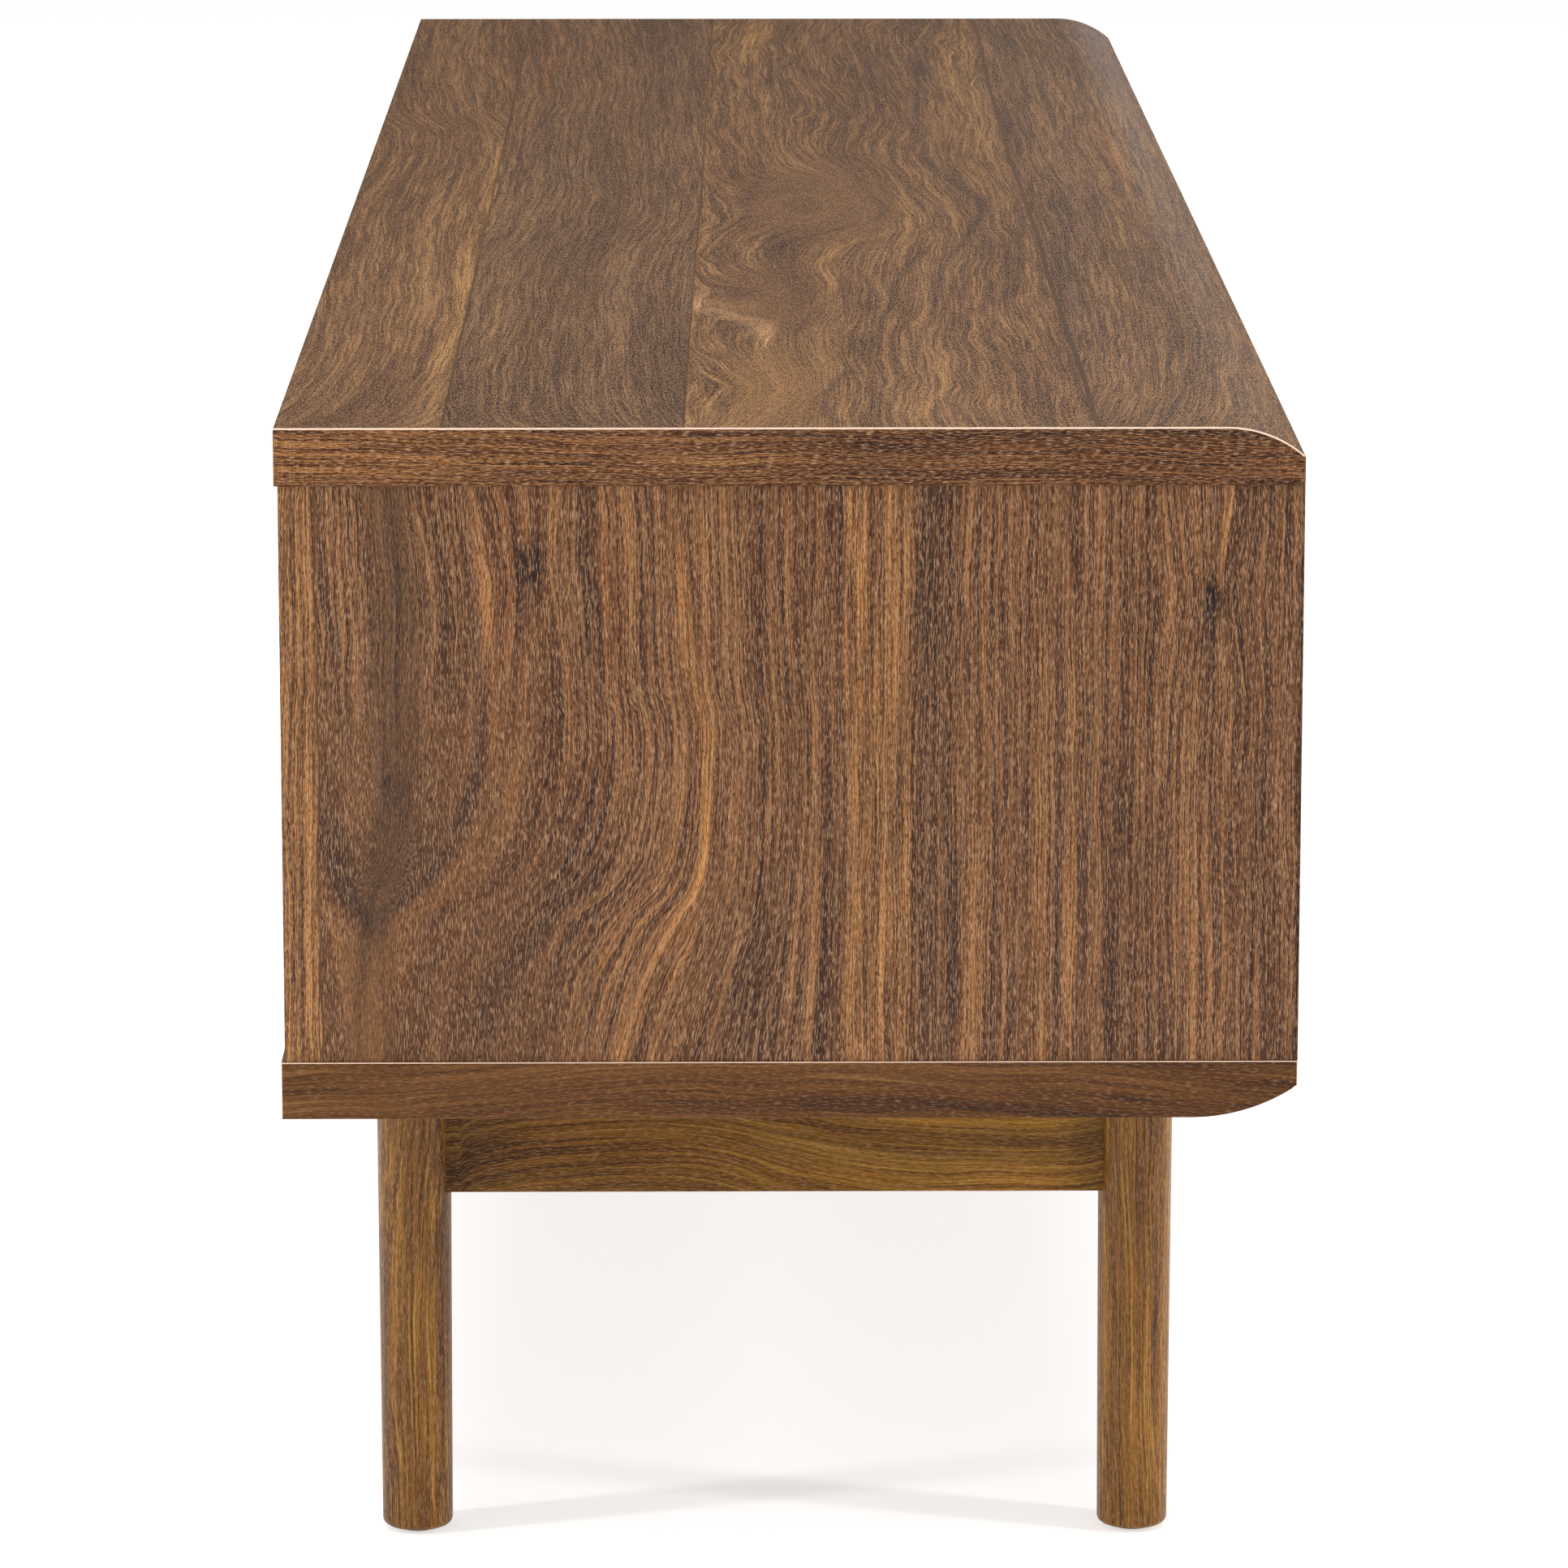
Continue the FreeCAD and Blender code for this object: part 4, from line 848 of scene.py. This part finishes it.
row = slat_plan.node("GeometryNodeMeshLine", {"Count": slat_plan.input("Slats"),
                                              "Start Location": slat_plan.input("First"), "Offset": step})
placed = slat_plan.node("GeometryNodeInstanceOnPoints", {"Points": row, "Instance": slat})
slat_plan.finish(placed, slat_plan.input("Finish"))

DOOR_TONES = [tint(58, 38, 28), tint(88, 60, 43), tint(112, 78, 54), tint(132, 94, 64), tint(156, 116, 80)]
SLATS = 25
SLAT_WIDTH = 0.012
SLAT_ROUND = 0.0022
FRAME_EASE = 0.0009
GLIDE_EASE = 0.0005
stile_wood = walnut("stile_wood", "Z", DOOR_TONES, seed=40.0)
rail_grain = walnut("door_rail_wood", "X", DOOR_TONES, seed=41.0)
slat_wood = walnut("slat_wood", "Z", DOOR_TONES, seed=43.0)
door_board = walnut("door_board", "Z", BACK_TONES, seed=44.0, bands=0.6, roughness=0.55)
for side in ("left", "right"):
    body = side + "_door"
    for part, wood in (("outer_stile", stile_wood), ("inner_stile", stile_wood),
                       ("top_rail", rail_grain), ("bottom_rail", rail_grain)):
        node = body + "_" + part
        fit(eased_copy(node, FRAME_EASE, segments=3), body, "door_walnut", wood, node)
    fit(eased_copy(body + "_board", BACK_EASE), body, "back_board", door_board, body + "_board")
    low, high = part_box(body + "_slats")
    pitch = (high.x - low.x - SLAT_WIDTH) / (SLATS - 1)
    slats = slat_plan.make(body + "_slat_row", {
        "First": (low.x + SLAT_WIDTH / 2, (low.y + high.y) / 2, low.z), "Pitch": pitch, "Slats": SLATS,
        "Width": SLAT_WIDTH, "Thickness": high.y - low.y, "Height": high.z - low.z,
        "Edge Radius": SLAT_ROUND, "Finish": slat_wood,
    })
    fit(slats, body, "door_walnut", slat_wood, body + "_slats")
    for node in (body + "_glides", body + "_guides"):
        fit(eased_copy(node, GLIDE_EASE, segments=3), body, "nylon", nylon, node)


# ---- Fixings -----------------------------------------------------------------------------------------------
# Zinc-plated steel: shelf pins, cam bolts, corner brackets, hanger bolts with washers and nuts, and the wood
# screws of the base. The cam locks are die-cast zinc with a driver cross.

DRAWING_DEPTH = 0.00001
PLATED_EASE = 0.0003
CAST_EASE = 0.0002


def plated(name, colour, roughness):
    """Plated metal: fine drawing marks, a slight bloom and uneven polish."""
    finish = Finish(name)
    x, y, z = finish.split(finish.node("TexCoord", {}, {}, "Object"))
    drawn = finish.noise(x * 900, y * 900, z * 120, 2.0)
    bloom = finish.noise(x * 120, y * 120, z * 120, 3.0)
    duller = tuple(channel * 0.7 for channel in colour)
    clouded = finish.mix(bloom, duller, colour)
    polish = (bloom - 0.5) * 0.3 + (drawn - 0.5) * 0.1 + roughness
    return finish.surface(clouded, polish, drawn, DRAWING_DEPTH, {"Metallic": 1.0})


zinc = plated("zinc_plate", tint(196, 196, 200), 0.32)
die_cast = plated("die_cast_zinc", tint(168, 168, 172), 0.48)
for node in ("shelf_pins", "corner_brackets", "hanger_washers", "hanger_nuts",
             "cam_bolts", "hanger_bolts", "bracket_screws", "frame_screws"):
    fit(eased_copy(node, PLATED_EASE), "cabinet", "zinc_steel", zinc, node)
fit(eased_copy("cam_locks", CAST_EASE), "cabinet", "die_cast_zinc", die_cast, "cam_locks")


# ---- Dowels and foot glides --------------------------------------------------------------------------------
# Raw beech dowels hide in every joint. A brown plastic glide with a nail is driven into each foot.

BEECH_TONES = [tint(176, 140, 100), tint(196, 160, 118), tint(208, 174, 132), tint(218, 186, 144),
               tint(228, 198, 158)]
DOWEL_EASE = 0.0004
FOOT_GLIDE_EASE = 0.0004
beech = walnut("beech", "Z", BEECH_TONES, seed=50.0, bands=0.4, threads=0.5, pores=0.3, roughness=0.6)
glide_plastic = moulded("glide_plastic", tint(70, 54, 44), 1200, 0.5)
for node, body in (("carcass_dowels", "cabinet"), ("base_dowels", "cabinet"),
                   ("left_door_dowels", "left_door"), ("right_door_dowels", "right_door")):
    fit(eased_copy(node, DOWEL_EASE), body, "beech", beech, node)
foot_glides = eased_copy("foot_glides", FOOT_GLIDE_EASE, segments=3)
fit(foot_glides, "cabinet", "glide_plastic", glide_plastic, "foot_glides")


# ---- Studio ------------------------------------------------------------------------------------------------
# A plain pale floor and a round backdrop far behind, with two tall soft boxes beside the cabinet, a small one
# past its far end and a large one overhead. The camera looks along it from the left, from a little above.

FLOOR_HALF = 60.0
PAPER_GLOW = 0.55
floor_shape = bmesh.new()
bmesh.ops.create_grid(floor_shape, x_segments=1, y_segments=1, size=FLOOR_HALF)
floor = keep("floor", floor_shape)
ground = Finish("pale_floor")
ground_x, ground_y, _ = ground.split(ground.node("TexCoord", {}, {}, "Object"))
ground_mottle = ground.noise(ground_x * 3, ground_y * 3, 0.0)
paper = ground.surface(ground.mix(ground_mottle, tint(226, 226, 226), tint(232, 232, 232)), 0.9,
                       constants={"Emission Color": (1.0, 1.0, 1.0), "Emission Strength": PAPER_GLOW})
floor.data.materials.append(paper)

BACKDROP_RADIUS = 55.0
BACKDROP_HEIGHT = 9.0
BACKDROP_STEPS = 96
backdrop_shape = bmesh.new()
turns = [2 * math.pi * step / BACKDROP_STEPS for step in range(BACKDROP_STEPS)]
circle = [(BACKDROP_RADIUS * math.cos(turn), BACKDROP_RADIUS * math.sin(turn)) for turn in turns]
lower = [backdrop_shape.verts.new((x, y, 0.0)) for x, y in circle]
upper = [backdrop_shape.verts.new((x, y, BACKDROP_HEIGHT)) for x, y in circle]
for step in range(BACKDROP_STEPS):
    following = (step + 1) % BACKDROP_STEPS
    backdrop_shape.faces.new([lower[following], lower[step], upper[step], upper[following]])
backdrop = keep("backdrop", backdrop_shape)
backdrop.data.materials.append(paper)

SKY_STRENGTH = 0.49
sky = bpy.data.worlds.new("white_sky")
sky.use_nodes = True
background = sky.node_tree.nodes["Background"]
background.inputs["Color"].default_value = (1.0, 1.0, 1.0, 1.0)
background.inputs["Strength"].default_value = SKY_STRENGTH
bpy.context.scene.world = sky
bpy.context.scene.view_settings.view_transform = "Standard"


def soft_box(name, place, target, width, height, watts):
    """A rectangular lamp at a place, turned to a target and hidden from the camera."""
    light = bpy.data.lights.new(name, "AREA")
    light.shape = "RECTANGLE"
    light.size = width
    light.size_y = height
    light.energy = watts
    lamp = bpy.data.objects.new(name, light)
    lamp.location = place
    lamp.rotation_euler = (Vector(target) - Vector(place)).to_track_quat("-Z", "Y").to_euler()
    lamp.visible_camera = False
    bpy.context.scene.collection.objects.link(lamp)


soft_box("front_box", (-1.4, -2.2, 0.9), (-0.6, 0.0, 0.3), width=0.2, height=1.8, watts=28.0)
soft_box("rear_box", (-1.4, 2.2, 0.9), (-0.6, 0.0, 0.25), width=0.2, height=1.8, watts=28.0)
soft_box("far_box", (5.0, -0.85, 1.0), (0.0, -0.2, 0.45), width=0.5, height=0.5, watts=14.0)
soft_box("overhead_box", (-0.6, 0.0, 2.8), (-0.2, 0.0, 0.4), width=2.6, height=1.6, watts=45.0)

CAMERA_PLACE = (-3.637, 0.0275, 0.913)
DEGREES_DOWN = 11.636
DEGREES_LEFT = -0.502
LENS_LENGTH = 176.0
SENSOR_WIDTH = 36.0
FARTHEST = 200.0
lens = bpy.data.cameras.new("camera")
lens.sensor_width = SENSOR_WIDTH
lens.lens = LENS_LENGTH
lens.clip_end = FARTHEST
camera = bpy.data.objects.new("camera", lens)
camera.location = CAMERA_PLACE
camera.rotation_euler = (math.radians(90.0 - DEGREES_DOWN), 0.0, math.radians(-90.0 + DEGREES_LEFT))
bpy.context.scene.collection.objects.link(camera)
bpy.context.scene.camera = camera
